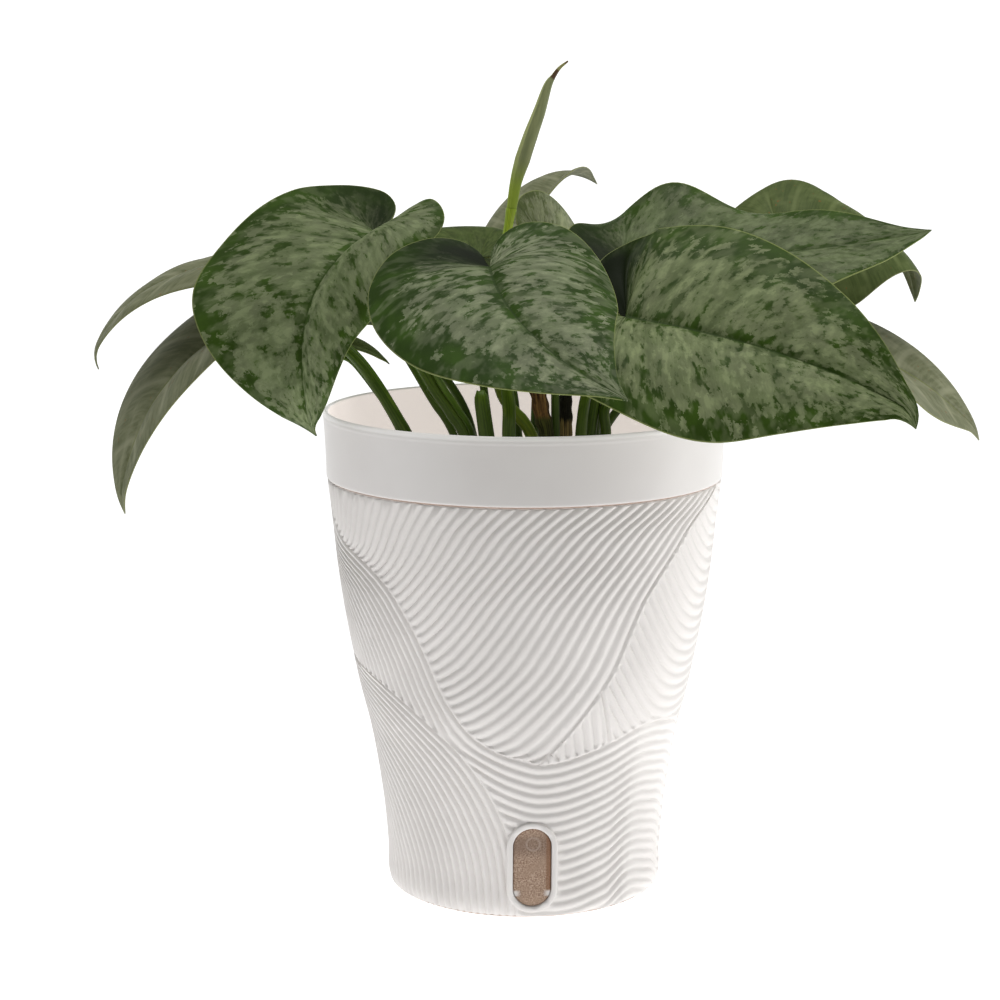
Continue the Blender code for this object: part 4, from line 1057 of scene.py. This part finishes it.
def on_front(obj, radius):
    """Stands a plate at the level window, this far from the pot's axis."""
    obj.rotation_euler = (WINDOW_TILT, 0, WINDOW_ANGLE)
    obj.location = (radius * math.sin(WINDOW_ANGLE), -radius * math.cos(WINDOW_ANGLE), WINDOW_CENTRE)
    return obj


def make_window(finish):
    plug = capsule("level_window_plug", WINDOW_WIDTH - 2 * GAP, WINDOW_HEIGHT - 2 * GAP, PLUG_DEPTH)
    round_edge(plug, 0.5 * MM, 2)
    on_front(plug, pot_radius(WINDOW_CENTRE) - PLUG_SET_BACK)
    plug.data.set_sharp_from_angle(angle=math.radians(40))
    plug.data.materials.append(finish)
    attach(plug, "root")
    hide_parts("level_window")


def make_liner(finish):
    band_foot = SEAM_HEIGHT + GAP
    outer = [(liner_outside(z * MM), z * MM) for z in LINER_HEIGHTS]
    inner = [(r - LINER_WALL, z) for r, z in reversed(outer)]
    inner_floor = LINER_FLOOR + LINER_WALL
    wick = WICK_RADIUS - WICK_TAPER
    band = [(RIM_RADIUS - BAND_TAPER * share, band_foot + rise * MM) for share, rise in BAND_LINES]
    lip = [(RIM_RADIUS - back * MM, POT_HEIGHT - BEAD_HEIGHT - below * MM) for back, below in BEAD_FOOT]
    for step in range(LIP_STEPS + 1):
        turn = math.pi * (step / LIP_STEPS)
        height = BEAD_HEIGHT if step < LIP_STEPS / 2 else LIP_ROUND
        lip.append((RIM_RADIUS - RIM_WALL / 2 + RIM_WALL / 2 * math.cos(turn),
                    POT_HEIGHT - height + height * math.sin(turn)))
    profile = [
        (0, WICK_BOTTOM + LINER_WALL), (wick - LINER_WALL, WICK_BOTTOM + LINER_WALL),
        (WICK_RADIUS - LINER_WALL, inner_floor), (inner[0][0] - FLOOR_CORNER, inner_floor),
        *inner, (RIM_RADIUS - BAND_TAPER - RIM_WALL, band_foot + BAND_STEP), *reversed(lip), *band,
        (RIM_RADIUS - BAND_TAPER - BAND_EDGE, band_foot), (outer[0][0] + NECK_STEP, band_foot), *outer,
        (outer[-1][0] - FLOOR_CORNER, LINER_FLOOR), (WICK_RADIUS, LINER_FLOOR),
        (wick, WICK_BOTTOM), (0, WICK_BOTTOM),
    ]
    mesh = turned("inner_liner_moulded", profile, LINER_SIDES, sharp=50)
    piece("inner_liner_moulded", mesh, [finish], "liner_plastic", "inner_liner")


# The soil


def make_soil(finish):
    """A lumpy dome with crumbs on it, as deep as the liner."""
    clear = GAP + LINER_WALL
    edge = liner_outside(SOIL_HEIGHT) - clear
    turns = np.arange(SOIL_SIDES) * 2 * math.pi / SOIL_SIDES
    points = []
    for n in range(1, SOIL_RINGS + 1):
        out = n / SOIL_RINGS
        for t in turns:
            x, y = edge * n / SOIL_RINGS * math.sin(t), -edge * n / SOIL_RINGS * math.cos(t)
            rough = sum(noise.noise(Vector((x, y, z)) * fine) * high for fine, z, high in SOIL_LUMPS)
            dome = SOIL_DOME * (1 - out**2) - out**8 * 1.5 * MM
            points.append((x, y, SOIL_HEIGHT - 1.2 * MM + dome + rough * MM * (1 - 0.7 * out**10)))
    faces = [(i, (i + 1) % SOIL_SIDES, len(points)) for i in range(SOIL_SIDES)]
    for n in range(SOIL_RINGS - 1):
        faces += ring_faces((n + 1) * SOIL_SIDES, n * SOIL_SIDES, SOIL_SIDES)
    points.append((0, 0, SOIL_HEIGHT + SOIL_DOME - 1 * MM))
    wall = [(liner_outside(z * MM) - clear, z * MM) for z in SOIL_WALL]
    floor = LINER_FLOOR + clear
    wall += [(wall[-1][0] - FLOOR_CORNER - GAP, floor), (WICK_RADIUS - clear, floor),
             (WICK_RADIUS - WICK_TAPER - clear, WICK_BOTTOM + clear)]
    before = (SOIL_RINGS - 1) * SOIL_SIDES
    for r, z in wall:
        start = len(points)
        points += [(r * math.sin(t), -r * math.cos(t), z) for t in turns]
        faces += ring_faces(start, before, SOIL_SIDES)
        before = start
    faces.append(tuple(before + i for i in range(SOIL_SIDES)))
    mesh = mesh_of("soil_surface", points, faces)
    face_out(mesh)
    keep_tone(mesh, np.zeros(len(mesh.vertices)))
    piece("soil_surface", mesh, [finish], "soil", "soil")
    make_crumbs(finish, edge)


def make_crumbs(finish, edge):
    """Loose crumbs and bits of bark that lie on the soil, as one mesh."""
    chance = np.random.default_rng(11)
    seed_mesh = bmesh.new()
    bmesh.ops.create_icosphere(seed_mesh, subdivisions=2, radius=1)
    lump = np.array([v.co for v in seed_mesh.verts])
    lump_faces = [[v.index for v in f.verts] for f in seed_mesh.faces]
    seed_mesh.free()
    points, faces, tones = [], [], []
    for _ in range(CRUMBS):
        reach = edge * 0.97 * math.sqrt(chance.random())
        turn = chance.random() * 2 * math.pi
        size = (0.7 + 1.9 * chance.random() ** 2.5) * MM
        shape = 1 + 0.32 * (chance.random(3) - 0.5) * (1.0, 2.0, 1.2)
        rough = 1 + 0.30 * (chance.random(len(lump)) - 0.5)
        axes = np.linalg.qr(chance.random((3, 3)) - 0.5)[0]
        dome = SOIL_HEIGHT - 1.0 * MM + SOIL_DOME * (1 - (reach / edge) ** 2)
        centre = np.array([reach * math.sin(turn), -reach * math.cos(turn), dome + size * 0.35])
        faces += [[i + len(points) for i in face] for face in lump_faces]
        points += list((lump * rough[:, None] * shape * size) @ axes + centre)
        tones += [float(chance.random() ** 2.2)] * len(lump)
    mesh = mesh_of("soil_crumbs", points, faces)
    keep_tone(mesh, tones)
    piece("soil_crumbs", mesh, [finish], "soil")


# The leaves


class Blade:
    """The surface of one leaf. Flat places on it are x along the midrib and y to its left, in metres."""

    def __init__(self, row, hook=(0, 0)):
        data = dict(zip(COLUMNS, row))
        self.base = np.array(data["base"]) * MM
        self.length, self.left, self.right = (n * MM for n in data["size"])
        self.fold = np.radians(data["fold"])
        self.curve = np.radians(data["curve"])
        self.wave, self.phase = data["wave"] * MM, data["phase"]
        self.x = np.linspace(-0.3, 1, BLADE_LINE) * self.length
        along = np.clip(self.x / self.length, 0, 1)
        behind = np.clip(-4 * self.x / self.length, 0, 2)
        end = np.clip((along - HOOK_START) / 0.1, 0, 1)
        heading = np.radians(data["heading"] + data["turn"] * along + hook[1] * end)
        rise = np.radians(data["rise"] - data["droop"] * along**1.5 - data["lobe"] * behind - hook[0] * end)
        roll = np.radians(data["roll"] + data["twist"] * along)[:, None]
        forward = np.stack([np.cos(rise) * np.cos(heading), np.cos(rise) * np.sin(heading), np.sin(rise)], 1)
        level = np.stack([-np.sin(heading), np.cos(heading), 0 * heading], 1)
        upright = np.cross(forward, level)
        self.side = level * np.cos(roll) + upright * np.sin(roll)
        self.normal = upright * np.cos(roll) - level * np.sin(roll)
        steps = (forward[1:] + forward[:-1]) / 2 * np.diff(self.x)[:, None]
        line = np.vstack([np.zeros(3), np.cumsum(steps, 0)])
        self.line = line - self.read(line, 0) + self.base

    def read(self, rows, x):
        return np.stack([np.interp(x, self.x, rows[:, k]) for k in range(3)], -1)

    def at(self, x, y):
        """Points of the sheet at flat places, given as arrays."""
        x, y = np.asarray(x, float), np.asarray(y, float)
        left = y > 0
        half = np.where(left, self.left, self.right)
        out = np.abs(y) / half
        start = np.where(left, *self.fold) * (1 - 0.55 * np.clip(x / self.length, 0, 1))
        bend = np.where(left, *self.curve)
        bend = np.where(bend == 0, 1e-4, bend)
        across = (np.sin(start) - np.sin(start - bend * out)) / bend * half
        up = (np.cos(start - bend * out) - np.cos(start)) / bend * half
        ripple = np.sin(2 * math.pi * (1.5 * x / self.length + self.phase) + np.where(left, 0, 1.3))
        up = up + self.wave * ripple * np.minimum(out, 1.2) ** 2
        sideways = (np.sign(y) * across)[..., None] * self.read(self.side, x)
        return self.read(self.line, x) + sideways + up[..., None] * self.read(self.normal, x)

    def facing(self, x, y):
        """The upward direction of the sheet at flat places."""
        e = 0.25 * MM
        cross = np.cross(self.at(x + e, y) - self.at(x - e, y), self.at(x, y + e) - self.at(x, y - e))
        return cross / np.linalg.norm(cross, axis=-1, keepdims=True)

    def stalk_end(self):
        """Where the stalk stops below the midrib, and the blade's upward direction there."""
        up = self.read(self.normal, STALK_SET_IN)
        return self.at(STALK_SET_IN, 0) - up * STALK_GAP, up


def heart_rows(stations):
    """Points of one half's outline, evenly spaced from the notch to the tip, in shares."""
    line = spline(HEART, 8)
    run = np.concatenate([[0], np.cumsum(np.linalg.norm(np.diff(line, axis=0) * (1.0, 0.45), axis=1))])
    at = np.linspace(0, run[-1], stations + 1)
    return np.stack([np.interp(at, run, line[:, 0]), np.interp(at, run, line[:, 1])], 1)


def make_leaf(name, row, tops, undersides):
    """A thin solid blade. Its rows of points run from the midrib to the margin as the side veins do."""
    top_finish, under_finish, seed, swell, hook, hook_turn = DRESS[name]
    blade = Blade(row, (hook, hook_turn))
    rows = heart_rows(BLADE_STATIONS)
    flat, marks, index = [(0.0, 0.0)], [(0.12, 0.0)], []
    starts = np.maximum(rows[:, 0] - 0.05, 0) ** 1.5 / 0.95**1.5
    for n, ((x, y), start) in enumerate(zip(rows, starts)):
        share = n / BLADE_STATIONS
        rib = 0
        if start > 0:
            rib = len(flat)
            flat.append((start, 0.0))
            marks.append((share, 0.0))
        line = {0: rib}
        if n < BLADE_STATIONS:
            for side in (1, -1):
                for k, t in enumerate(RINGS[1:], 1):
                    line[side * k] = len(flat)
                    flat.append((start + (x - start) * t**1.5, side * y * t))
                    marks.append((share, side * t))
        index.append(line)
    faces = []
    for a, b in zip(index, index[1:]):
        for side in (1, -1):
            for k in range(len(RINGS) - 1):
                near, far = side * k, side * (k + 1)
                if far in b:
                    corners = [a[near], b[near], b[far], a[far]]
                else:
                    corners = [a[near], b[0], a[far]]
                if side > 0:
                    corners.reverse()
                corners = list(dict.fromkeys(corners))
                if len(corners) > 2:
                    faces.append(tuple(corners[::-1]))
    flat, marks = np.array(flat), np.array(marks)
    x = flat[:, 0] * blade.length
    y = flat[:, 1] * np.where(flat[:, 1] > 0, blade.left, blade.right)
    middle, up = blade.at(x, y), blade.facing(x, y)
    out = np.abs(marks[:, 1])
    taper = soft_step(flat[:, 0], -0.02, 0.06) * (1 - soft_step(flat[:, 0], 0.75, 0.97))
    spine = np.exp(-((y / (1.3 * MM)) ** 2)) * taper
    pillow = np.abs(np.sin(math.pi * marks[:, 0] * VEINS)) ** 0.8 - 0.45
    pillow *= np.sin(math.pi * np.clip(out * 1.02, 0, 1)) * soft_step(marks[:, 0], 0.12, 0.3)
    ripple = np.sin(x / (6.1 * MM) + seed * 1.7) * np.sin(y / (5.3 * MM) + seed * 2.9) * 0.25
    ripple += np.sin(x / (13 * MM) + seed * 2.3) * np.sin(y / (11 * MM) + seed) * 0.45
    lift = (pillow * swell + ripple * (1 - soft_step(out, 0.8, 1.0)) * 0.6) * MM
    half = BLADE_THICKNESS / 2 * (1 - 0.45 * soft_step(out, 0.9, 1.0))
    half = half * (1 - 0.3 * soft_step(flat[:, 0], 0.9, 1.0))
    upper = middle + up * (half + lift - 0.45 * MM * spine)[:, None]
    lower = middle - up * (half - lift + 0.8 * MM * spine)[:, None]
    count = len(flat)
    edges = {}
    for face in faces:
        for a, b in zip(face, (*face[1:], face[0])):
            edges[(a, b)] = True
    rim = [(b, a, a + count, b + count) for a, b in edges if (b, a) not in edges]
    under = [tuple(i + count for i in face[::-1]) for face in faces]
    mesh = mesh_of(name + "_blade", np.vstack([upper, lower]), faces + rim + under)
    mesh.polygons.foreach_set("material_index", [0] * (len(faces) + len(rim)) + [1] * len(under))
    rows = np.column_stack([marks, np.full(count, seed * 3.7)])
    keep(mesh, "vein", np.vstack([rows, rows]))
    piece(name + "_blade", mesh, [tops[top_finish], undersides[under_finish]], "leaf", name)


# The stems and stalks


def frames_along(line):
    """The direction of a line at each of its points, and two directions square to it that don't spin."""
    way = np.gradient(line, axis=0)
    way /= np.linalg.norm(way, axis=1, keepdims=True)
    side = np.cross(way[0], (0.0, -1.0, 0.3))
    side /= np.linalg.norm(side)
    sides = []
    for direction in way:
        side = side - direction * np.dot(side, direction)
        side = side / np.linalg.norm(side)
        sides.append(side)
    sides = np.array(sides)
    return way, sides, np.cross(way, sides)


def tube(name, line, radii, shape=None, torn=0.0, seed=0):
    """A closed tube along a line. shape gives its radius, in shares, at a turn and a share along."""
    way, side, up = frames_along(line)
    run = np.concatenate([[0], np.cumsum(np.linalg.norm(np.diff(line, axis=0), axis=1))])
    turns = np.arange(STALK_SIDES) * 2 * math.pi / STALK_SIDES
    chance = np.random.default_rng(seed)
    ragged = torn * (chance.random(STALK_SIDES) - 0.3)
    points, grain = [], []
    for n, centre in enumerate(line):
        for i, turn in enumerate(turns):
            reach = radii[n] * (shape(turn, run[n] / run[-1]) if shape else 1.0)
            spot = centre + reach * (math.cos(turn) * side[n] + math.sin(turn) * up[n])
            if n == len(line) - 1:
                spot = spot + way[n] * ragged[i]
            points.append(spot)
            grain.append((math.cos(turn), math.sin(turn), run[n] / GRAIN_LENGTH + seed * 5))
    faces = []
    for n in range(len(line) - 1):
        faces += ring_faces(n * STALK_SIDES, (n + 1) * STALK_SIDES, STALK_SIDES)
    last = (len(line) - 1) * STALK_SIDES
    points += [line[0], line[-1] - way[-1] * torn * 0.5]
    grain += [(0, 0, seed * 5), (0, 0, run[-1] / GRAIN_LENGTH + seed * 5)]
    first, end = len(points) - 2, len(points) - 1
    faces += [((i + 1) % STALK_SIDES, i, first) for i in range(STALK_SIDES)]
    faces += [(last + i, last + (i + 1) % STALK_SIDES, end) for i in range(STALK_SIDES)]
    mesh = mesh_of(name, points, faces)
    face_out(mesh)
    keep(mesh, "grain", grain)
    return mesh


def stem_line(row, blades):
    """The stem's points from its root up, the radius at each, and its distance along, in metres."""
    low, high, leaf, points = row
    points = [np.array(p) * MM for p in points]
    root = points[0] * (1, 1, 0) + np.array([0, 0, SOIL_HEIGHT - ROOT_DEPTH])
    points[0] = points[0] + np.array([0, 0, ABOVE_SOIL])
    if leaf == "rolled_leaf":
        first, second = (np.array(ROLLED_LEAF[n][0]) * MM for n in (0, 1))
        up = (second - first) / np.linalg.norm(second - first)
        end = first + up * GAP
    elif leaf:
        end, up = blades[leaf].stalk_end()
        end = end + up * (STALK_GAP - 0.5 * MM)
    if leaf:
        points += [end - up * 7 * MM, end - up * STRAIGHT_END, end]
    line = np.array([root, *spline(points, 9)])
    run = np.concatenate([[0], np.cumsum(np.linalg.norm(np.diff(line, axis=0), axis=1))])
    rooted = ABOVE_SOIL + ROOT_DEPTH
    radii = np.interp(run, (0, rooted + 8 * MM, run[-1]), (low * MM, low * MM, high * MM))
    return line, radii, run


def grooved(turn, _):
    """Section of a leaf stalk: round, with a shallow channel along its upper side."""
    away = turn - CHANNEL_TURN
    away = math.atan2(math.sin(away), math.cos(away))
    return 1.0 - CHANNEL_DEPTH * math.exp(-((away / CHANNEL_WIDTH) ** 2))


def make_stems(blades, finishes):
    for n, (name, row) in enumerate(STEMS.items()):
        line, radii, run = stem_line(row, blades)
        if row[2]:
            knuckle = 0.10 * np.exp(-(((run - 0.42 * run[-1]) / (2.2 * MM)) ** 2))
            cuff = 0.22 * np.exp(-(((run - run[-1]) / (3.5 * MM)) ** 2))
            finish = finishes["young" if row[2] == "rolled_leaf" else "stalk"]
            slot = "stalk"
            mesh = tube(name + "_stalk", line, radii * (1 + knuckle + cuff), grooved, 0.0, n)
        elif name == "cut_stem_left":
            radii = radii * (1 - 0.45 * soft_step(run, run[-1] - 3.4 * MM, run[-1]))
            finish = finishes["stalk"]
            slot = "stalk"
            mesh = tube(name + "_stub", line, radii, None, 0.8 * MM, n)
        else:
            lumps = 1 + 0.16 * np.sin(run / (1.9 * MM)) * np.sin(run / (3.1 * MM) + 1)
            finish = finishes["dry" if name == "cut_stem_middle" else "dark"]
            slot = "cut_stem"
            mesh = tube(name + "_stub", line, radii * lumps, None, 3.2 * MM, n)
        piece(mesh.name, mesh, [finish], slot, name)


def make_sheath(blades, finish):
    """The old leaf base that wraps the front left stalk and ends in a torn edge."""
    line, radii, run = stem_line(STEMS["stem_front_left"], blades)
    _, side, up = frames_along(line)
    points, grain = [], []
    for lift in SHEATH_FACES:
        for i in range(SHEATH_ROWS + 1):
            for j in range(SHEATH_SIDES + 1):
                round_share = j / SHEATH_SIDES
                turn = math.radians(-60 + 200 * round_share)
                torn = 0.055 * math.sin(round_share * 17) * math.sin(round_share * 5 + 1)
                reach_up = SHEATH_TO - SHEATH_FROM + torn - 0.10 * abs(round_share - 0.3)
                at = (SHEATH_FROM + reach_up * i / SHEATH_ROWS) * run[-1]
                centre, x_way, y_way = (np.array([np.interp(at, run, track[:, k]) for k in range(3)])
                                        for track in (line, side, up))
                flare = SHEATH_FLARE * (i / SHEATH_ROWS) ** 3 * (0.3 + round_share)
                reach = np.interp(at, run, radii) + lift + flare
                points.append(centre + reach * (math.cos(turn) * x_way + math.sin(turn) * y_way))
                grain.append((math.cos(turn), math.sin(turn), at / GRAIN_LENGTH + 40))
    size = (SHEATH_ROWS + 1) * (SHEATH_SIDES + 1)
    faces = []
    for i in range(SHEATH_ROWS):
        for j in range(SHEATH_SIDES):
            a = i * (SHEATH_SIDES + 1) + j
            above = a + SHEATH_SIDES + 1
            faces.append((a, a + 1, above + 1, above))
    edges = {(a, b) for face in faces for a, b in zip(face, (*face[1:], face[0]))}
    rim = [(b, a, a + size, b + size) for a, b in edges if (b, a) not in edges]
    faces += sorted(rim) + [tuple(i + size for i in face[::-1]) for face in faces]
    mesh = mesh_of("front_left_sheath", points, faces)
    face_out(mesh)
    keep(mesh, "grain", grain)
    piece("front_left_sheath", mesh, [finish], "stalk")


def make_rolled_leaf(finish):
    """A blade still rolled up: a spiral section whose free edge runs up the side that faces the camera."""
    points = spline([np.array(p) * MM for p, _ in ROLLED_LEAF], 14)
    shares = np.linspace(0, 1, len(points))
    radii = np.interp(shares, np.linspace(0, 1, len(ROLLED_LEAF)), [r * MM for _, r in ROLLED_LEAF])
    verts, marks = [], []
    for n, (centre, radius, share) in enumerate(zip(points, radii, shares)):
        way = points[min(n + 1, len(points) - 1)] - points[max(n - 1, 0)]
        way = way / np.linalg.norm(way)
        right = np.cross(way, (0.0, 1.0, 0.0))
        right = right / np.linalg.norm(right)
        front = np.cross(right, way) * (-1)
        front = front if front[1] < 0 else -front
        # Where the free edge lies, from the right side towards the front
        edge = math.radians(62 - 50 * share)
        for i in range(ROLLED_SIDES):
            t = i / ROLLED_SIDES
            turn = edge + 2 * math.pi * t
            step = 0.16 * (1 - soft_step(t, 0.0, 0.045)) if share < 0.9 else 0.0
            roll = radius * (1.10 - 0.12 * t - step)
            spot = centre + roll * (1.18 * math.cos(turn) * right + 0.9 * math.sin(turn) * front)
            verts.append(spot)
            marks.append((t, share, 1.0 if t > 0.72 or t < 0.03 else 0.0))
    faces = []
    for n in range(len(points) - 1):
        faces += ring_faces(n * ROLLED_SIDES, (n + 1) * ROLLED_SIDES, ROLLED_SIDES)
    verts += [points[0], points[-1]]
    marks += [(0.5, 0.0, 0.0), (0.5, 1.0, 0.0)]
    last = (len(points) - 1) * ROLLED_SIDES
    foot, tip = len(verts) - 2, len(verts) - 1
    faces += [((i + 1) % ROLLED_SIDES, i, foot) for i in range(ROLLED_SIDES)]
    faces += [(last + i, last + (i + 1) % ROLLED_SIDES, tip) for i in range(ROLLED_SIDES)]
    mesh = mesh_of("rolled_leaf_blade", verts, faces)
    face_out(mesh)
    keep(mesh, "roll", marks)
    piece("rolled_leaf_blade", mesh, [finish], "new_leaf", "rolled_leaf")


# Camera, floor and light


def make_studio():
    """A white floor that curves up far behind the object, soft lamps, and the camera."""
    paper = Finish("pale floor", Specular_IOR_Level=0.0, Roughness=1.0, Emission_Strength=FLOOR_GLOW)
    x, y, _ = paper.parts(paper.place())
    cloud = paper.noise(paper.place(), 3.0, 2)
    glow = paper.mix(paper.step(y, -1.0, -0.25), (0.32, 0.32, 0.32), (1.0, 1.0, 1.0))
    reach = (x * x + y * y) ** 0.5
    glow = paper.mix(paper.step(reach, 0.16, 0.42), (1.22, 1.22, 1.22), glow)
    paper.surface(Base_Color=paper.mix(cloud, (0.38, 0.38, 0.38), (0.40, 0.40, 0.40)), Emission_Color=glow)
    section = [(FLOOR_FRONT, 0.0), (FLOOR_BACK, 0.0)]
    for t in np.linspace(0.15, math.pi / 2, 10):
        section.append((FLOOR_BACK + FLOOR_CURVE * math.sin(t), FLOOR_CURVE - FLOOR_CURVE * math.cos(t)))
    section.append((FLOOR_BACK + FLOOR_CURVE, FLOOR_TOP))
    points = [(side * FLOOR_HALF_WIDTH, y, z) for y, z in section for side in (-1, 1)]
    faces = [(2 * n, 2 * n + 1, 2 * n + 3, 2 * n + 2) for n in range(len(section) - 1)]
    mesh = mesh_of("floor", points, faces)
    floor = bpy.data.objects.new("floor", mesh)
    mesh.materials.append(paper.material)
    floor.location.z = -FLOOR_SINK
    bpy.context.scene.collection.objects.link(floor)

    world = bpy.data.worlds.new("studio")
    world.use_nodes = True
    background = world.node_tree.nodes["Background"]
    background.inputs["Color"].default_value = (1.0, 1.0, 1.0, 1.0)
    background.inputs["Strength"].default_value = WORLD_LIGHT
    bpy.context.scene.world = world

    for name, place, size, watts, colour in LAMPS:
        lamp = bpy.data.lights.new(name, "AREA")
        lamp.size = size
        lamp.energy = watts
        lamp.color = colour
        light = bpy.data.objects.new(name, lamp)
        light.location = place
        light.rotation_euler = (Vector(LAMPS_AIM) - Vector(place)).to_track_quat("-Z", "Y").to_euler()
        bpy.context.scene.collection.objects.link(light)

    lens = bpy.data.cameras.new("camera")
    lens.lens = LENS
    lens.sensor_width = SENSOR
    lens.clip_start = 0.05
    camera = bpy.data.objects.new("camera", lens)
    camera.location = CAMERA_PLACE
    camera.rotation_euler = (math.radians(90 - CAMERA_DOWN), 0, CAMERA_TURN)
    bpy.context.scene.collection.objects.link(camera)
    bpy.context.scene.camera = camera
    bpy.context.scene.view_settings.view_transform = "Standard"


def main():
    make_outer_pot(outer_pot_finish())
    make_liner(liner_finish())
    make_window(window_finish())
    make_soil(soil_finish())
    green = srgb(53, 76, 20)
    # The last two numbers of each silver leaf set the painted shade beside its notch: how dark it is, and on
    # which half.
    tops = {
        "front left": leaf_top_finish("front left leaf", srgb(119, 129, 94), green, 0.09, 0.24, 0.8, -1),
        "front middle": leaf_top_finish("front middle leaf", srgb(132, 140, 110), srgb(50, 74, 20),
                                        0.04, 0.42, 1.0, -1),
        "front right": leaf_top_finish("front right leaf", srgb(128, 138, 100), green, 0.10, 0.40, 1.4, 1),
        "right": leaf_top_finish("right leaf", srgb(106, 116, 84), green, 0.13, 0.18, 0.9, 1),
        "sage": leaf_top_finish("sage leaf", srgb(132, 138, 106), srgb(92, 104, 62), 0.12, 0.2, 0.2, 1),
        "olive": leaf_top_finish("olive leaf", srgb(80, 93, 50), srgb(66, 82, 36), 0.0, 0.3, 0.6, 1),
        "dull": leaf_striped_finish("dull striped leaf", srgb(122, 126, 96), srgb(154, 156, 128),
                                    srgb(94, 100, 70)),
        "fresh": leaf_striped_finish("fresh striped leaf", srgb(84, 98, 52), srgb(116, 128, 80),
                                     srgb(66, 80, 38)),
    }
    undersides = {
        "pale underside": leaf_striped_finish("pale leaf underside", srgb(116, 118, 94),
                                              srgb(142, 142, 116), srgb(92, 98, 72)),
        "veined underside": leaf_striped_finish("veined leaf underside", srgb(106, 112, 76),
                                                srgb(146, 150, 108), srgb(84, 94, 56)),
    }
    blades = {name: Blade(row) for name, row in LEAVES.items()}
    for name, row in LEAVES.items():
        make_leaf(name, row, tops, undersides)
    stalks = {
        "stalk": stalk_finish("stalk green", srgb(80, 108, 20), srgb(130, 154, 58), srgb(56, 82, 14), 0.235),
        "young": stalk_finish("young stalk green", srgb(170, 194, 56), srgb(204, 218, 98),
                              srgb(132, 162, 42), 0.275),
        "dry": cut_stem_finish("dry stub bark", srgb(124, 96, 52), srgb(74, 52, 26),
                               srgb(66, 72, 26), 0.214),
        "dark": cut_stem_finish("dark stub bark", srgb(34, 34, 20), srgb(18, 20, 10),
                                srgb(150, 134, 84), 0.2105),
    }
    make_stems(blades, stalks)
    make_sheath(blades, stalks["stalk"])
    make_rolled_leaf(rolled_leaf_finish())
    make_studio()


main()
